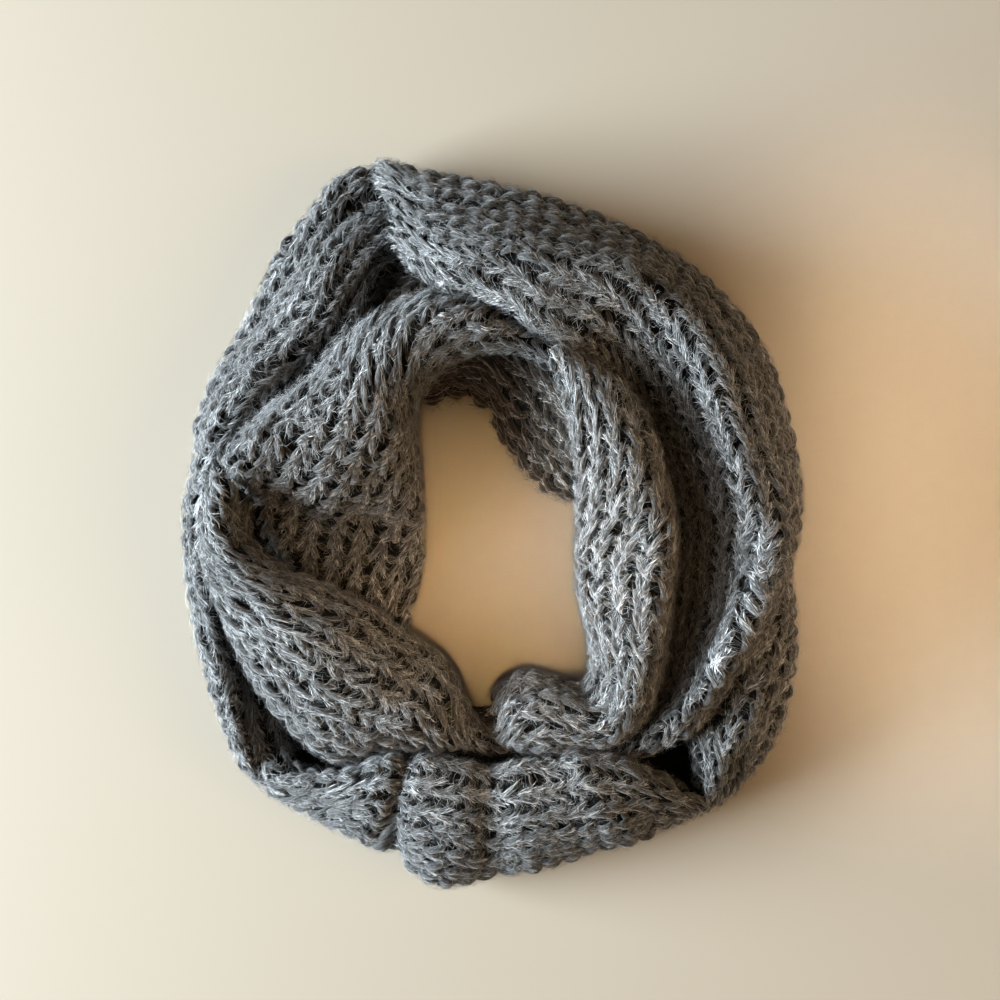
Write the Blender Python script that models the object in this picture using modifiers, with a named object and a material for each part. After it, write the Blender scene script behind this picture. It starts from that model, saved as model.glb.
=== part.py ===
"""Infinity scarf, wound twice and lying in a nest: one knitted band, shown as the eight
stretches that can be seen plus one rounded solid for the layers hidden beneath them.

Lengths are in metres, +Z up, origin on the ground under the middle of the scarf.
Every stretch is a cloth wall. Its shape is a table of sections round the centre hole:
a bearing in degrees (0 = +X, anticlockwise), then a radius and a height in mm for each
of the named lines that run along the stretch, from the hole side to the outer side.
"""
import bpy
import bmesh
import math
import numpy as np
from mathutils import Vector
from mathutils.bvhtree import BVHTree

MM = 0.001

# ---------------------------------------------------------------- driving sizes
CLOTH = 4.5 * MM            # thickness of the chunky brushed knit
GAP = 0.4 * MM              # clear space left between one piece and the next
HOLE_X = 7.0 * MM           # middle of the centre hole, from the middle of the scarf
HOLE_Y = -10.6 * MM

# ---------------------------------------------------------------- sections
OUTER_RIGHT_LINES = ("tuck", "edge", "crest", "shoulder", "side", "foot")
OUTER_RIGHT = (
    # bearing  tuck        edge        crest       shoulder    side        foot
    (109.6, 138, 61, 139, 65, 154, 60, 181, 40, 202, 20, 195, 13),
    (107.5, 136, 64, 134.5, 71, 152, 67, 179, 47, 202, 25, 195, 14),
    (105, 130, 66, 125, 76, 144, 76, 173, 55, 196, 27, 189, 14),
    (102, 125, 68, 120, 80, 137, 83, 167, 62, 190, 28, 183, 15),
    (97, 122, 70, 116, 83, 131, 88, 159, 69, 184, 29, 177, 15),
    (88, 112, 73, 107, 86, 128, 90, 153, 73, 175, 31, 168, 15),
    (83, 107, 72, 101, 85, 128, 89, 151, 73, 172, 31, 165, 15),
    (78, 102, 70, 98, 83, 129, 88, 149, 73, 169, 31, 162, 15),
    (70, 99, 62, 98, 76, 131, 87, 149, 72, 166, 31, 159, 15),
    (62, 97, 48, 98, 60, 132, 85, 148, 71, 164, 32, 157, 15),
    (50, 93, 33, 95, 44, 130, 82, 147, 69, 164, 32, 157, 15),
    (36, 88, 26, 90, 37, 121, 79, 142, 67, 159, 33, 152, 15),
    (22, 86, 23, 88, 34, 116, 77, 134, 67, 151, 34, 144, 16),
    (8, 85, 22, 87, 33, 117, 76, 131, 67, 145, 38, 139, 22),
    (-6, 86, 21, 88, 32, 117, 74, 128, 66, 136, 47, 130, 34),
    (-20, 89, 20, 91, 31, 115, 71, 123, 65, 127, 54, 121, 44),
    (-34, 97, 20, 99, 31, 113, 65, 120, 60, 125, 51, 118, 42),
    (-46, 104, 20, 106, 30, 112, 57, 119, 54, 125, 47, 119, 38),
    (-56, 104, 17, 105, 26, 112, 43, 117, 41, 122, 34, 117, 26),
    (-64, 100, 12, 102, 19, 110, 31, 115, 30, 120, 24, 115, 17),
)

INNER_RIGHT_LINES = ("tuck", "edge", "crest", "side", "foot")
INNER_RIGHT = (
    # bearing  tuck       edge       crest      side        foot
    (77, 92, 74, 88, 82, 92, 86, 96, 83, 96.5, 74),
    (70, 79, 70, 76, 79, 87, 87, 95, 81, 96.5, 66),
    (62, 66, 66, 62, 76, 82, 88, 94, 77, 96, 53),
    (52, 56, 60, 52, 72, 77, 88, 91, 74, 93, 41),
    (42, 49, 54, 45, 68, 73, 88, 87.5, 72, 89, 36),
    (30, 44, 48, 39, 65, 69, 87, 83, 70, 86, 33),
    (15, 41, 40, 35.5, 62, 66, 86, 80, 68, 84, 31),
    (0, 40, 33, 34, 60, 65, 85, 79.5, 67, 83.5, 30),
    (-15, 42, 29, 36, 58, 66, 83, 80.5, 65, 85, 29),
    (-28, 46, 27, 40, 56, 70, 79, 86, 62, 91.5, 29),
    (-40, 55, 25, 49, 53, 79, 74, 95.5, 58, 99, 32),
    (-50, 70, 20, 65, 47, 89, 69, 103, 55, 103.5, 38),
    (-60, 80, 14, 77, 41, 94, 63, 106, 52, 103, 40),
    (-70, 72, 12, 68, 40, 85, 61, 101, 50, 101, 37),
    (-80, 66, 10, 62, 38, 80, 60, 98, 48, 99, 35),
    (-88, 68, 10, 65, 37, 80, 56, 95, 45, 97, 33),
    (-94, 73, 16, 71, 31, 80, 44, 91, 38, 93, 30),
)

LOWER_RIGHT_LINES = ("tuck", "under", "crest", "side", "foot")
LOWER_RIGHT = (
    # bearing  tuck        under       crest       side        foot
    (11, 108, 9, 118, 13, 127, 14, 135, 10, 130, 2),
    (4, 108, 13, 118, 18, 129, 19, 139, 11, 133, 2),
    (-6, 106, 18, 118, 24, 131, 26, 146, 14, 140, 2),
    (-14, 106, 24, 118, 31, 133, 36, 151, 18, 145, 2),
    (-20, 106, 28, 118, 35, 135, 41, 156, 20, 150, 2),
    (-28, 106, 30, 118, 36, 140, 45, 162, 21, 156, 2),
    (-36, 108, 29, 120, 35, 143, 46, 167, 21, 161, 2),
    (-43, 118, 28, 126, 36, 145, 45, 168, 21, 162, 2),
    (-48, 138, 28, 140, 37, 150, 42, 168, 21, 162, 2),
    (-51.5, 152, 16, 153, 25, 159, 31, 168, 20, 163, 2),
)

BOTTOM_LINES = ("tuck", "edge", "crest", "shoulder", "side", "foot")
BOTTOM = (
    # bearing  tuck        edge        crest       shoulder    side        foot
    (-52.2, 156, 16, 154, 25, 159, 31, 164, 29, 167, 19, 162, 2),
    (-55, 140, 24, 136, 38, 142, 43, 154, 38, 165, 20, 159, 2),
    (-60, 122, 34, 117, 47, 126, 53, 146, 44, 162.5, 20, 156.5, 2),
    (-68, 111, 37, 106, 50, 118, 57, 141, 49, 159, 21, 153, 2),
    (-78, 107, 38, 102, 51, 115, 59, 140, 50, 160, 21, 154, 2),
    (-90, 107, 38, 101, 52, 114, 60, 144, 51, 168, 21, 162, 2),
    (-102, 108, 38, 103, 53, 116, 61, 146, 51, 171, 21, 165, 2),
    (-112, 111, 38, 106, 53, 120, 60, 144, 49, 165, 21, 159, 2),
    (-120, 119, 36, 114, 50, 126, 57, 147, 47, 165, 21, 159, 2),
    (-127, 139, 28, 135, 42, 141, 48, 152, 43, 167, 21, 161, 2),
    (-134, 150, 22, 149, 31, 155, 38, 162, 37, 171, 21, 165, 2),
    (-138.3, 147, 16, 151, 23, 158, 29, 165, 33, 172, 21, 166, 2),
)

OUTER_LEFT_LINES = ("tuck", "lip", "pleat", "dip", "rim", "side", "foot")
OUTER_LEFT = (
    # bearing  tuck        lip         pleat       dip         rim         side        foot
    (221, 140, 9, 146, 15, 152, 23, 158, 29, 165, 33, 172, 21, 166, 2),
    (217, 136, 10, 142, 14, 148, 22, 154, 29, 162, 35, 170.5, 21, 164.5, 2),
    (212, 130, 11, 136, 14, 142, 20, 148, 28, 157, 36, 167, 22, 161, 2),
    (202, 120, 13, 128, 16, 136, 24, 143, 33, 151, 41, 162, 23, 156, 2),
    (192, 121, 20, 127, 26, 133, 32, 140, 38, 148, 43, 160, 24, 154, 2),
    (182, 125, 28, 129, 32, 134, 36, 141, 40, 149, 41, 160, 24, 154, 2),
    (172, 126, 34, 130, 39, 135, 43, 142, 45, 150, 43, 162, 24, 156, 2),
    (162, 122, 42, 129, 47, 137, 51, 143, 52, 150, 49, 162, 24, 156, 2),
    (152, 118, 44, 126, 50, 134, 54, 143, 55, 152, 50, 165, 24, 159, 2),
    (142, 112, 44, 120, 50, 132, 54, 144, 54, 155, 47, 168, 24, 162, 2),
    (134, 112, 42, 121, 50, 136, 54, 149, 51, 161, 43, 174, 24, 168, 2),
    (127, 119, 38, 126, 50, 146, 56, 162, 49, 172, 40, 184, 24, 178, 2),
    (120, 131, 36, 137, 50, 160, 54, 173, 42, 183, 38, 194, 24, 188, 2),
    (114, 141, 34, 147, 49, 167, 48, 180, 35, 192, 36, 203, 22, 197, 2),
    (110.1, 142, 31, 148, 43, 166, 43, 179, 32, 190, 33, 202.5, 20, 196.5, 2),
)

INNER_LEFT_LINES = ("tuck", "edge", "slope", "crest", "ridge", "foot")
INNER_LEFT = (
    # bearing  tuck      edge      slope      crest      ridge       foot
    (76, 90, 44, 87, 54, 91, 62, 97, 64, 105, 56, 110, 46),
    (84, 95, 50, 91, 61, 94, 69, 99, 71, 107, 63, 112, 53),
    (92, 96, 52, 92, 64, 95, 73, 101, 79, 111, 73, 118, 62),
    (100, 96, 51, 92, 63, 95, 74, 105, 82, 117, 76, 123, 62),
    (107, 94, 48, 90, 60, 95, 75, 106, 83, 119, 76, 126, 62),
    (116, 90, 38, 86, 50, 91, 72, 105, 82, 119, 76, 127, 63),
    (122, 84, 25, 80, 40, 86, 68, 103, 81, 118, 76, 126, 63),
    (128, 77, 16, 71.5, 34, 80, 64, 100, 79, 116, 75, 124, 62),
    (136, 65, 11, 59, 31, 74, 60, 99, 77, 115, 74, 123, 61),
    (146, 56, 9, 50, 28, 70, 55, 102, 74, 120, 73, 128, 60),
    (158, 50, 8, 44.5, 25, 67, 47, 107, 66, 128, 71, 137, 58),
    (163, 49, 7, 43.5, 23, 66, 41, 107, 58, 129, 68, 138, 58),
    (168, 48, 7, 43, 20, 65, 32, 104, 43, 117, 49, 124, 46),
    (174, 47, 6, 42, 17, 63, 26, 97, 33, 113, 38, 121, 34),
    (182, 46, 5, 42, 14, 61, 21, 91, 26, 108, 29, 117, 24),
    (192, 47, 5, 44, 12, 60, 17, 84, 21, 99, 21, 108, 16),
    (202, 50, 5, 48, 10, 61, 14, 77, 19, 88, 19, 96, 14),
    (214, 58, 5, 58, 8, 68, 12, 78, 15, 86, 15, 92, 11),
    (226, 68, 5, 71, 7, 75, 9, 80, 11, 85, 11, 90, 8),
)

LOWER_LEFT_LINES = ("tuck", "edge", "crest", "side", "foot")
LOWER_LEFT = (
    # bearing  tuck       edge       crest      side        foot
    (166, 131, 62, 129, 68, 134, 72, 140, 66, 140, 58),
    (172, 127, 52, 127, 64, 133, 72, 142, 61, 139, 49),
    (178, 121, 48, 120, 62, 130, 72, 143, 58, 139, 46),
    (184, 108, 46, 105, 60, 122, 73, 142, 56, 138, 44),
    (190, 94, 43, 88, 56, 115, 73, 139, 53, 135, 40),
    (197, 84, 39, 77, 52, 110, 72, 138, 49, 134, 34),
    (207, 74, 35, 67, 49, 106, 71, 137, 46, 132, 29),
    (218, 71, 31, 64, 46, 103, 70, 136, 44, 131, 27),
    (225, 68, 27, 62, 45, 99, 69, 135, 43, 130, 26),
    (231, 67, 25, 61, 44, 94, 67, 133, 41, 129, 26),
    (237, 67, 24, 61, 44, 89, 66, 115, 46, 116, 31),
    (242, 67, 23, 62, 44, 86, 65, 108, 48, 111, 32),
    (251, 74, 22, 70, 45, 86, 60, 102, 46, 105, 31),
    (260, 86, 20, 84, 36, 91, 47, 98, 41, 101, 31),
)

UPPER_INNER_LINES = ("hem", "toe", "middle", "top")
UPPER_INNER = (
    # bearing  hem      toe      middle     top
    (22, 44, 5, 47, 12, 50, 20, 53, 28),
    (29, 42, 5, 46, 14, 50, 26, 54, 38),
    (40, 37, 5, 42, 16, 49, 31, 56, 45),
    (52, 33, 5, 41, 18, 51, 35, 61, 51),
    (64, 34, 5, 46, 20, 60, 37, 73, 51),
    (75, 36, 5, 52, 20, 69, 37, 84, 48),
    (84, 44, 5, 59, 20, 76, 34, 92, 43),
    (92, 53, 5, 66, 18, 80, 33, 94, 44),
    (96, 64, 5, 73, 17, 83, 32, 94, 44),
    (104, 75, 5, 81, 17, 88, 30, 95, 42),
    (112, 78, 5, 83, 14, 88, 24, 93, 33),
    (118, 79, 5, 82, 11, 86, 18, 90, 24),
)

# The layers beneath: radius and layered height of the side round the hole, radius where
# the top ends, radius and layered height of the outer base, and how high the top stands
# where no cloth lies above it.
HIDDEN_LINES = ("inner_r", "inner_z", "outer_r", "base_r", "base_z", "open_z")
HIDDEN = (
    # bearing  inner_r inner_z outer_r base_r base_z open_z
    (0, 47, 26, 124, 124, 0, 8),
    (14, 48, 28, 120, 121, 0, 8),
    (22, 49, 26, 134, 143, 13, 8),
    (36, 52, 20, 142, 151, 13, 8),
    (55, 56, 10, 147, 156, 13, 8),
    (75, 66, 8, 151, 160, 13, 8),
    (90, 82, 8, 158, 167, 13, 20),
    (100, 90, 8, 169, 178, 13, 36),
    (107, 92, 8, 178, 183, 6, 40),
    (114, 92, 6, 186, 186, 0, 42),
    (122, 92, 6, 178, 178, 0, 40),
    (135, 84, 6, 158, 158, 0, 30),
    (150, 76, 6, 150, 150, 0, 30),
    (165, 74, 6, 147, 147, 0, 20),
    (180, 74, 6, 145, 145, 0, 14),
    (200, 76, 5, 146, 146, 0, 12),
    (215, 80, 5, 153, 153, 0, 12),
    (222, 82, 5, 157, 157, 0, 13),
    (230, 82, 10, 156, 156, 0, 13),
    (242, 78, 16, 149, 149, 0, 16),
    (252, 82, 18, 151, 151, 0, 20),
    (262, 88, 18, 154, 154, 0, 24),
    (268, 82, 12, 154, 154, 0, 24),
    (280, 78, 8, 145, 145, 0, 22),
    (292, 80, 10, 143.5, 143.5, 0, 20),
    (302, 88, 12, 147, 147, 0, 14),
    (308, 82, 14, 155, 155, 0, 12),
    (313, 76, 16, 155, 155, 0, 12),
    (320, 68, 20, 152, 152, 0, 14),
    (332, 56, 22, 142, 142, 0, 16),
    (345, 49, 24, 133, 133, 0, 10),
)
HIDDEN_STATIONS = 90        # sections round the ring
HIDDEN_ACROSS = 13          # points over the top of each section
LOOKS = 3                   # the cloth above is felt this many times per section
FELT_FROM = 40 * MM         # and between these distances from the middle of the hole
FELT_TO = 190 * MM
SOFTENING = 4               # passes that take the peaks off the hidden layers
LOWEST_TOP = 1.5 * MM       # the hidden layers are nowhere thinner than this
LAYERS = 2                  # folded layers seen one above the other at an open edge
LAYER_BULGE = 2.5 * MM      # how far each layer rounds out past the crease between
SIDE_STEPS = 6              # points up each layered side
SETTLE_PASSES = 40          # most times the hidden layers are pressed clear of the cloth
SETTLE_STEP = 0.6 * MM      # how far each pass presses


# ---------------------------------------------------------------- curves
def spline(knots, values, at):
    """Smooth curve through the knots: cubic pieces whose slopes come from the neighbours."""
    knots = np.asarray(knots, float)
    values = np.asarray(values, float)
    slopes = np.gradient(values, knots, axis=0)
    index = np.clip(np.searchsorted(knots, at, side="right") - 1, 0, len(knots) - 2)
    span = knots[index + 1] - knots[index]
    t = ((at - knots[index]) / span)[:, None]
    span = span[:, None]
    a, b = values[index], values[index + 1]
    da, db = slopes[index] * span, slopes[index + 1] * span
    return (a * (1 + 2 * t) * (1 - t) ** 2 + da * t * (1 - t) ** 2
            + b * t * t * (3 - 2 * t) + db * t * t * (t - 1))


def even_section(points, count):
    """The named points of one section joined by a smooth curve, cut into even steps."""
    steps = np.sqrt(np.linalg.norm(np.diff(points, axis=0), axis=1))
    knots = np.concatenate([[0.0], np.cumsum(steps)])
    fine = spline(knots, points, np.linspace(0, knots[-1], 160))
    lengths = np.concatenate([[0.0], np.cumsum(np.linalg.norm(np.diff(fine, axis=0), axis=1))])
    wanted = np.linspace(0, lengths[-1], count)
    return np.stack([np.interp(wanted, lengths, fine[:, k]) for k in range(2)], axis=1)


def surface(lines, rows, along, across):
    """Grid of points on a stretch: along the band, then from the hole side outwards."""
    rows = sorted(rows)
    bearings = np.array([row[0] for row in rows], float)
    sections = np.array([row[1:] for row in rows], float)
    stations = np.linspace(bearings[0], bearings[-1], along)
    between = spline(bearings, sections, stations).reshape(along, len(lines), 2)
    grid = np.zeros((along, across, 3))
    for i, bearing in enumerate(stations):
        section = even_section(between[i], across) * MM
        turn = math.radians(bearing)
        grid[i, :, 0] = HOLE_X + section[:, 0] * math.cos(turn)
        grid[i, :, 1] = HOLE_Y + section[:, 0] * math.sin(turn)
        grid[i, :, 2] = section[:, 1]
    return grid


# ---------------------------------------------------------------- pieces
def make_material(name, colour, roughness):
    material = bpy.data.materials.new(name)
    material.use_nodes = True
    shader = material.node_tree.nodes["Principled BSDF"]
    shader.inputs["Base Color"].default_value = (*colour, 1.0)
    shader.inputs["Roughness"].default_value = roughness
    shader.inputs["Metallic"].default_value = 0.0
    material.diffuse_color = (*colour, 1.0)
    return material


def add_object(name, mesh_maker, material, collection):
    mesh = bpy.data.meshes.new(name)
    mesh_maker.to_mesh(mesh)
    mesh_maker.free()
    mesh.materials.append(material)
    piece = bpy.data.objects.new(name, mesh)
    collection.objects.link(piece)
    return piece


def cloth_stretch(name, lines, rows, along, across, pinch, material, collection):
    """One visible stretch: an open sheet laid on its sections, thickened inwards.
    Pinch is how much of the wall is left where the first and last sections close up."""
    points = surface(lines, rows, along, across)
    wall_share = np.interp(range(along), (0, 4, along - 5, along - 1),
                           (pinch[0], 1.0, 1.0, pinch[1]))
    maker = bmesh.new()
    shares = maker.verts.layers.deform.verify()
    bmesh.ops.create_grid(maker, x_segments=across - 1, y_segments=along - 1, size=1.0)
    for vert in maker.verts:
        column = round((vert.co.x + 1) / 2 * (across - 1))
        row = round((vert.co.y + 1) / 2 * (along - 1))
        vert.co = points[row, column]
        vert[shares][0] = wall_share[row]
    bmesh.ops.recalc_face_normals(maker, faces=maker.faces)
    maker.faces.ensure_lookup_table()
    highest = max(maker.faces, key=lambda face: face.calc_center_median().z)
    if highest.normal.z < 0:
        bmesh.ops.reverse_faces(maker, faces=maker.faces)
    piece = add_object(name, maker, material, collection)
    piece.vertex_groups.new(name="wall share")
    wall = piece.modifiers.new("cloth wall", "SOLIDIFY")
    wall.vertex_group = "wall share"
    wall.thickness = CLOTH
    wall.offset = -1.0
    wall.use_even_offset = False
    wall.use_rim = True
    return piece


def cloth_above(trees, x, y):
    """Height of the lowest cloth over a point of the ground, or nothing."""
    start = Vector((x, y, -1 * MM))
    hits = [tree.ray_cast(start, Vector((0, 0, 1))) for tree in trees]
    heights = [hit[0].z for hit in hits if hit[0] is not None]
    return min(heights) if heights else None


def layered_side(radius, high, sign):
    """Edge of folded layers, one above the other, from the ground up."""
    points = []
    for step in range(SIDE_STEPS + 1):
        part = step / SIDE_STEPS
        bulge = LAYER_BULGE * abs(math.sin(math.pi * LAYERS * part))
        points.append((radius + sign * bulge, high * part))
    return points


def hidden_table(bearings):
    """The hidden layers' table at any bearings, joined smoothly right round the ring."""
    rows = sorted(HIDDEN)
    before = [(row[0] - 360, *row[1:]) for row in rows[-3:]]
    after = [(row[0] + 360, *row[1:]) for row in rows[:3]]
    rows = before + rows + after
    knots = np.array([row[0] for row in rows], float)
    values = np.array([row[1:] for row in rows], float)
    smooth = spline(knots, values, bearings) * MM
    return {name: smooth[:, k] for k, name in enumerate(HIDDEN_LINES)}


def felt_heights(bearings, radii, open_z, trees):
    """How high the hidden layers may stand at each bearing and radius."""
    field = np.zeros((len(bearings), len(radii)))
    for i, bearing in enumerate(bearings):
        across, up = math.cos(math.radians(bearing)), math.sin(math.radians(bearing))
        for j, radius in enumerate(radii):
            above = cloth_above(trees, HOLE_X + radius * across, HOLE_Y + radius * up)
            field[i, j] = open_z[i] if above is None else above - GAP
    return field


def soften(height):
    """Take the peaks off the heights, never raising any of them."""
    for _ in range(SOFTENING):
        beside = np.pad(height, ((0, 0), (1, 1)), mode="edge")
        around = (np.roll(height, 1, axis=0) + np.roll(height, -1, axis=0)
                  + beside[:, :-2] + beside[:, 2:]) / 4
        height = np.minimum(height, (height + around) / 2)
    return height


def hidden_layers(covers, material, collection):
    """The layers no one sees: one rounded solid filling the space under the stretches."""
    graph = bpy.context.evaluated_depsgraph_get()
    trees = [BVHTree.FromObject(cover, graph) for cover in covers]
    bearings = np.arange(HIDDEN_STATIONS * LOOKS) * 360.0 / (HIDDEN_STATIONS * LOOKS)
    line = hidden_table(bearings)
    radii = np.linspace(FELT_FROM, FELT_TO, 101)
    field = felt_heights(bearings, radii, line["open_z"], trees)
    spread = np.linspace(0.0, 1.0, HIDDEN_ACROSS)
    top_r = np.zeros((HIDDEN_STATIONS, HIDDEN_ACROSS))
    top_z = np.zeros((HIDDEN_STATIONS, HIDDEN_ACROSS))
    for station in range(HIDDEN_STATIONS):
        i = station * LOOKS
        width = line["outer_r"][i] - line["inner_r"][i]
        near = [(i + k) % len(bearings) for k in range(-LOOKS, LOOKS + 1)]
        for column, radius in enumerate(line["inner_r"][i] + width * spread):
            close = np.abs(radii - radius) <= width / (HIDDEN_ACROSS - 1)
            lowest = float(field[near][:, close].min())
            top_r[station, column] = radius
            top_z[station, column] = max(lowest, LOWEST_TOP)
    top_z = soften(top_z)
    sections = []
    for station in range(HIDDEN_STATIONS):
        i = station * LOOKS
        top = list(zip(top_r[station], top_z[station]))
        hole_side = min(line["inner_z"][i], top[0][1])
        inner = layered_side(line["inner_r"][i], hole_side, -1)[:-1]
        if line["base_z"][i] > LOWEST_TOP:
            base_top = min(line["base_z"][i], top[-1][1])
            waist = [(line["outer_r"][i], base_top)]
        else:
            base_top = 0.6 * top[-1][1]
            waist = [(line["outer_r"][i], 0.8 * top[-1][1])]
        outer = layered_side(line["base_r"][i], base_top, 1)[::-1]
        sections.append(inner + top + waist + outer)
    sections = np.array(sections)
    turns = np.radians(bearings[::LOOKS])
    settle(sections, turns, trees)
    maker = ring_of_sections(sections, turns)
    return add_object("hidden_layers", maker, material, collection)


def ring_of_sections(sections, turns):
    """Closed ring: every section joined to the next, the last to the first."""
    maker = bmesh.new()
    rings = []
    for section, turn in zip(sections, turns):
        spots = [(HOLE_X + r * math.cos(turn), HOLE_Y + r * math.sin(turn), z)
                 for r, z in section]
        rings.append([maker.verts.new(spot) for spot in spots])
    for k, ring in enumerate(rings):
        other = rings[(k + 1) % len(rings)]
        for a in range(len(ring)):
            b = (a + 1) % len(ring)
            maker.faces.new((ring[a], ring[b], other[b], other[a]))
    bmesh.ops.recalc_face_normals(maker, faces=maker.faces)
    return maker


def settle(sections, turns, trees):
    """Press the hidden layers down and in, a little at a time, until no cloth touches."""
    first_top = SIDE_STEPS
    last_top = first_top + HIDDEN_ACROSS - 1
    points = sections.shape[1]
    for _ in range(SETTLE_PASSES):
        maker = ring_of_sections(sections, turns)
        maker.faces.ensure_lookup_table()
        shape = BVHTree.FromBMesh(maker)
        touched = set()
        for tree in trees:
            for face, _ in shape.overlap(tree):
                touched.update(vert.index for vert in maker.faces[face].verts)
        maker.free()
        if not touched:
            return
        for index in touched:
            row, column = divmod(index, points)
            spot = sections[row, column]
            middle = sections[row, first_top:last_top + 1, 0].mean()
            if spot[1] > LOWEST_TOP:
                spot[1] -= SETTLE_STEP
            if column < first_top:
                spot[0] += SETTLE_STEP
            elif column > last_top:
                spot[0] -= SETTLE_STEP
            elif spot[1] <= LOWEST_TOP:
                spot[0] += SETTLE_STEP / 2 * np.sign(middle - spot[0])


# ---------------------------------------------------------------- the scarf
STRETCHES = (
    # name               lines              rows         along across wall left at ends
    ("outer_right_band", OUTER_RIGHT_LINES, OUTER_RIGHT, 44, 14, (0.45, 1.0)),
    ("inner_right_band", INNER_RIGHT_LINES, INNER_RIGHT, 44, 12, (0.8, 0.35)),
    ("lower_right_bulge", LOWER_RIGHT_LINES, LOWER_RIGHT, 18, 10, (1.0, 1.0)),
    ("bottom_band", BOTTOM_LINES, BOTTOM, 30, 12, (1.0, 0.6)),
    ("left_outer_band", OUTER_LEFT_LINES, OUTER_LEFT, 36, 14, (1.0, 1.0)),
    ("left_inner_band", INNER_LEFT_LINES, INNER_LEFT, 42, 12, (1.0, 1.0)),
    ("lower_left_roll", LOWER_LEFT_LINES, LOWER_LEFT, 28, 11, (0.5, 0.8)),
    ("upper_inner_layer", UPPER_INNER_LINES, UPPER_INNER, 24, 8, (1.0, 1.0)),
)


def main():
    for old in list(bpy.data.objects):
        bpy.data.objects.remove(old, do_unlink=True)
    scarf = bpy.data.collections.new("infinity_scarf")
    bpy.context.scene.collection.children.link(scarf)
    charcoal = make_material("charcoal brushed knit", (0.13, 0.135, 0.14), 0.95)
    shade = make_material("charcoal brushed knit, shaded side", (0.075, 0.072, 0.070), 0.95)
    pieces = []
    for name, lines, rows, along, across, pinch in STRETCHES:
        material = shade if name == "upper_inner_layer" else charcoal
        pieces.append(cloth_stretch(name, lines, rows, along, across, pinch, material, scarf))
    bpy.context.view_layer.update()
    hidden_layers(pieces, shade, scarf)


main()
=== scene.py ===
# %% [markdown]
# # An infinity scarf, wound double and laid in a nest
# The real object is one band of chunky brushed knit, joined end to end, wound into a double
# loop and laid on a flat surface. Its solids are already worked out, so this lesson loads
# them as a fixed frame and dresses them: thin shells of cloth first, then every loop of the
# yarn, then the hairs that the brushing raised. Everything is in metres in the same frame.

# %% Load the fixed frame
import math

import bmesh
import bpy
import numpy as np
from mathutils import Matrix, Vector


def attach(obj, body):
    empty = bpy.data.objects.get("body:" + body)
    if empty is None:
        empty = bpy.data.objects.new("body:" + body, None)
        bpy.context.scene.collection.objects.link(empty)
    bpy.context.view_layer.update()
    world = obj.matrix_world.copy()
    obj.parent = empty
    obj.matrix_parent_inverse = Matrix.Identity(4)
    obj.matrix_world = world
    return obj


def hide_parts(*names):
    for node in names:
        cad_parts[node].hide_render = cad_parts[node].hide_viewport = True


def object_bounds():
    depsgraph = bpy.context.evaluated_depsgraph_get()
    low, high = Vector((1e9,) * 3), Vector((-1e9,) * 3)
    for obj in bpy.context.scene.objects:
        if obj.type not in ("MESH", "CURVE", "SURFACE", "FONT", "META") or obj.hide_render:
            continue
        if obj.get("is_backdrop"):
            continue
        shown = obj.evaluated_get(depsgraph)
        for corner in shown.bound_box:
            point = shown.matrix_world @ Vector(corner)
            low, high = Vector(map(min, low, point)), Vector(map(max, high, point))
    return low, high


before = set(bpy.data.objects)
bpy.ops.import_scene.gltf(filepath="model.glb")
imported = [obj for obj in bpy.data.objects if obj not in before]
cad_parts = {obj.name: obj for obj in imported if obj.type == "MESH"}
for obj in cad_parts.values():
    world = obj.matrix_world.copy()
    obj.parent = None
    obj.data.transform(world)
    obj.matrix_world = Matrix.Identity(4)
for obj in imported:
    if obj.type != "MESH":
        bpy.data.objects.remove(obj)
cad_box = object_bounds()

print("solids:", len(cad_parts), "nodes, box", [round(x, 4) for x in cad_box[1] - cad_box[0]])

# %% [markdown]
# ## Sizes
# A few sizes drive all the rest: how thick the cloth is, how far apart the columns and the
# rows of loops lie, and where the middle of the hole is. Knitters call a column of loops a
# wale and a row of loops a course.

# %% Name the driving sizes
MM = 0.001
CLOTH = 3.0 * MM            # wall of the thin shell under the yarn
SINK = 1.6 * MM             # how far the shell lies inside the outer face of the cloth
GROOVE = 3.4 * MM           # how deep the shell dips once for each column of loops
WALE = 12.4 * MM            # from one column of loops to the next
COURSE = 9.5 * MM           # from one row of loops to the next
CLEAR = 0.3 * MM            # yarn and hairs come no nearer to the floor than this
HOLE_X = 7.0 * MM           # middle of the centre hole
HOLE_Y = -10.6 * MM
chance = np.random.default_rng(7)   # one source of chance, so each run gives the same scarf
print("stitches in ten centimetres:", round(100 * MM / WALE, 1), "by", round(100 * MM / COURSE, 1))

# %% [markdown]
# ## The form of each stretch
# Cloth that is wound and laid down could be simulated, but then each fold would land by
# chance. Here each stretch of the band is a table of sections round the centre hole instead,
# so every fold lies where it should. A row is a bearing in degrees (0 = +X, anticlockwise),
# then a radius and a height in millimetres for each named line along the stretch, from the
# hole side to the outer side.

# %% [markdown]
# ### Outer right
# The outer run of the band comes down the right side from the folded peak. It is the
# highest fold, with a broad crest and a side that rolls under near the floor.

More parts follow.
